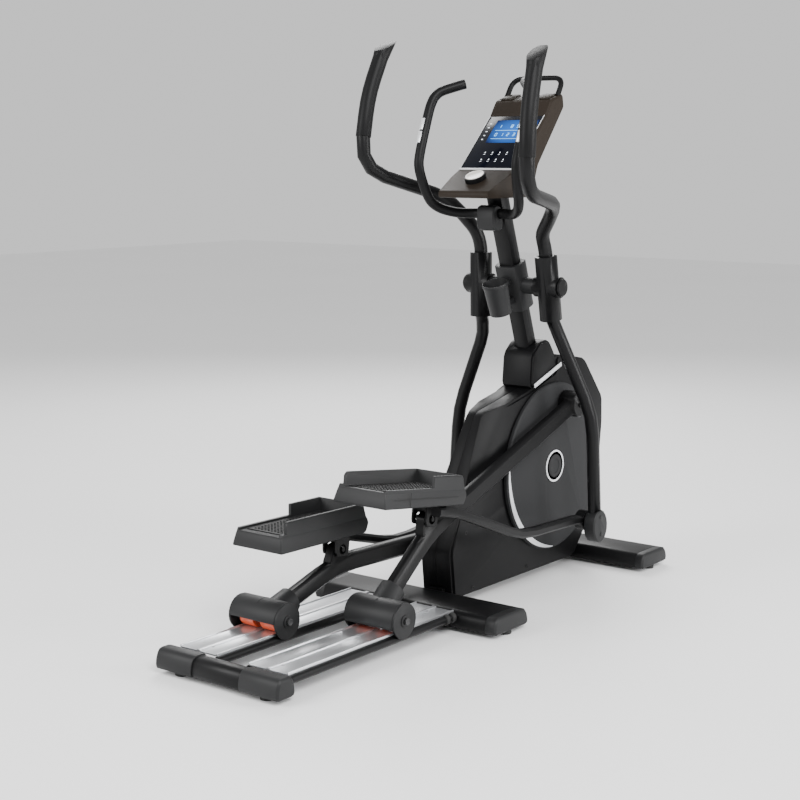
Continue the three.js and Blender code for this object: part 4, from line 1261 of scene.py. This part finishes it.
@dataclass
class CarriageTrim(Trim):
    """The axle nuts and the moulding seam on one carriage."""

    side: str
    seam_radius: float = 52.4 * MM
    seam_height: float = 34 * MM

    def build(self) -> None:
        """Makes the trim."""
        low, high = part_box(f"roller_axle_{self.side}")
        centre = (low + high) / 2
        parts = []
        for end, way in ((high.y, 1), (low.y, -1)):
            nut = self.bench.cylinder(11 * MM, 5 * MM, (centre.x, end + way * 1.5 * MM, centre.z), Axis.Y, 6)
            self.bench.step(nut, Vector((0, way, 0)), 3 * MM, -1.2 * MM)
            self.bench.soften(nut, 0.8 * MM, 2)
            parts.append(nut)
        body = f"roller_axle_{self.side}"
        self.bench.done(parts, f"axle_nuts_{self.side}", "roller_hub", body, "bare_steel")
        hood_low, hood_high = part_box(f"carriage_{self.side}")
        middle = (centre.x, (hood_low.y + hood_high.y) / 2, centre.z)
        seam = self.bench.cylinder(self.seam_radius, 1.6 * MM, middle, Axis.Y, 56)
        self.bench.step(seam, Vector((0, 1, 0)), 1.5 * MM, -0.2 * MM)
        self.bench.keep_above(seam, centre + Vector((0, 0, self.seam_height)), (0.35, 0, 1))
        body = f"pedal_arm_{self.side}"
        self.bench.done(seam, f"hood_seam_{self.side}", "seam_black", body, "charcoal_cover")


@dataclass
class HandleTrim(Trim):
    """The pulse plates on the fixed handlebar."""

    bar: float = 16 * MM
    plate_length: float = 36 * MM
    plate_gap: float = 6 * MM
    outward: float = math.radians(-50)
    strip_floor: float = 7 * MM
    first: float = 0.44
    start: tuple[float, float] = (10 * MM, 163 * MM)
    rise: tuple[float, float] = (66 * MM, 182 * MM)

    def build(self) -> None:
        """Makes the trim."""
        low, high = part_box("fixed_handlebar")
        start = Vector((low.x + self.start[0], 0, low.z + self.start[1]))
        end = Vector((start.x + self.rise[0], 0, start.z + self.rise[1]))
        along = (end - start).normalized()
        pitch = math.atan2(along.z, along.x)
        for side, sign in SIDES.items():
            plates = []
            for index in range(2):
                share = (self.plate_length + self.plate_gap) / (end - start).length
                way = start.lerp(end, self.first + index * share)
                sleeve = self.bench.cylinder(self.bar + 1.2 * MM, self.plate_length, (0, 0, 0), Axis.X, 40)
                self.bench.keep_above(sleeve, (0, 0, self.strip_floor), UP)
                self.bench.soften(sleeve, 0.8 * MM, 2)
                spot = Vector((way.x, sign * (high.y - self.bar), way.z))
                turn = Matrix.Rotation(-pitch, 4, "Y") @ Matrix.Rotation(sign * self.outward, 4, "X")
                plates.append(self.bench.carry(sleeve, Matrix.Translation(spot) @ turn))
            self.bench.done(plates, f"pulse_plates_{side}", "silver_trim", "frame", "foam_grip")


# ---- Studio -------------------------------------------------------------------------------------------


@dataclass
class Studio(Trim):
    """A pale flat floor, soft lights and the camera."""

    lens: float = 71.05
    eye: tuple[float, float, float] = (-3.703, -2.772, 1.359)
    aim: tuple[float, float, float] = (-0.0855, 0.0484, 0.6475)

    def build(self) -> None:
        """Makes the studio."""
        self.floor()
        self.lights()
        self.camera()

    def floor(self) -> None:
        """The floor."""
        self.bench.clear()
        bpy.ops.mesh.primitive_plane_add(size=30, location=(0, 0, 0))
        floor = bpy.context.object
        floor.name = "studio_floor"
        shader = Shader("studio_white")
        where = shader.place()
        shade = shader.blend(shader.noise(where, 0.6), (0.86, 0.86, 0.86), (0.9, 0.9, 0.9))
        shader.feed(shader.surface.inputs["Base Color"], shade)
        shader.feed(shader.surface.inputs["Roughness"], 0.55)
        floor.data.materials.append(shader.material)

    def light(self, name: str, spot: Sequence[float], size: float, power: float) -> None:
        """One soft square light that looks at the machine's middle.

        Args:
            name: its name.
            spot: its place.
            size: its side.
            power: its power.
        """
        data = bpy.data.lights.new(name, "AREA")
        data.size = size
        data.energy = power
        lamp = bpy.data.objects.new(name, data)
        bpy.context.scene.collection.objects.link(lamp)
        lamp.location = spot
        lamp.rotation_euler = (Vector((0, 0, 0.6)) - Vector(spot)).to_track_quat("-Z", "Y").to_euler()

    def lights(self) -> None:
        """The lights and the even white surroundings."""
        self.light("key", (-2.4, -3.6, 4.0), 2.2, 330)
        self.light("fill", (-4.2, 2.2, 2.6), 2.4, 190)
        self.light("rim", (3.2, 2.6, 3.4), 2.6, 170)
        self.light("side", (1.6, -4.0, 1.6), 1.8, 150)
        world = bpy.data.worlds.new("studio")
        world.use_nodes = True
        background = world.node_tree.nodes["Background"]
        background.inputs["Color"].default_value = (1, 1, 1, 1)
        background.inputs["Strength"].default_value = 0.85
        bpy.context.scene.world = world

    def camera(self) -> None:
        """The camera."""
        data = bpy.data.cameras.new("camera")
        data.lens = self.lens
        camera = bpy.data.objects.new("camera", data)
        bpy.context.scene.collection.objects.link(camera)
        camera.location = self.eye
        look = Vector(self.aim) - Vector(self.eye)
        camera.rotation_euler = look.to_track_quat("-Z", "Y").to_euler()
        bpy.context.scene.camera = camera


def main() -> None:
    """Builds the machine's finishes, its trim and the studio."""
    logging.basicConfig(level=logging.INFO, format="%(message)s")
    bench = Bench(Finishes(ConsoleTrim.display_centre()))
    CadDress().build(bench)
    ConsoleTrim(bench).build()
    HandleTrim(bench).build()
    for side in SIDES:
        for trim in (DiscTrim, RailEnds, CasingTrim, Tread, RollerPair, CarriageTrim):
            trim(bench, side).build()
    Studio(bench).build()
    LOG.info("%d pieces", bench.count)


if __name__ == "__main__":
    main()
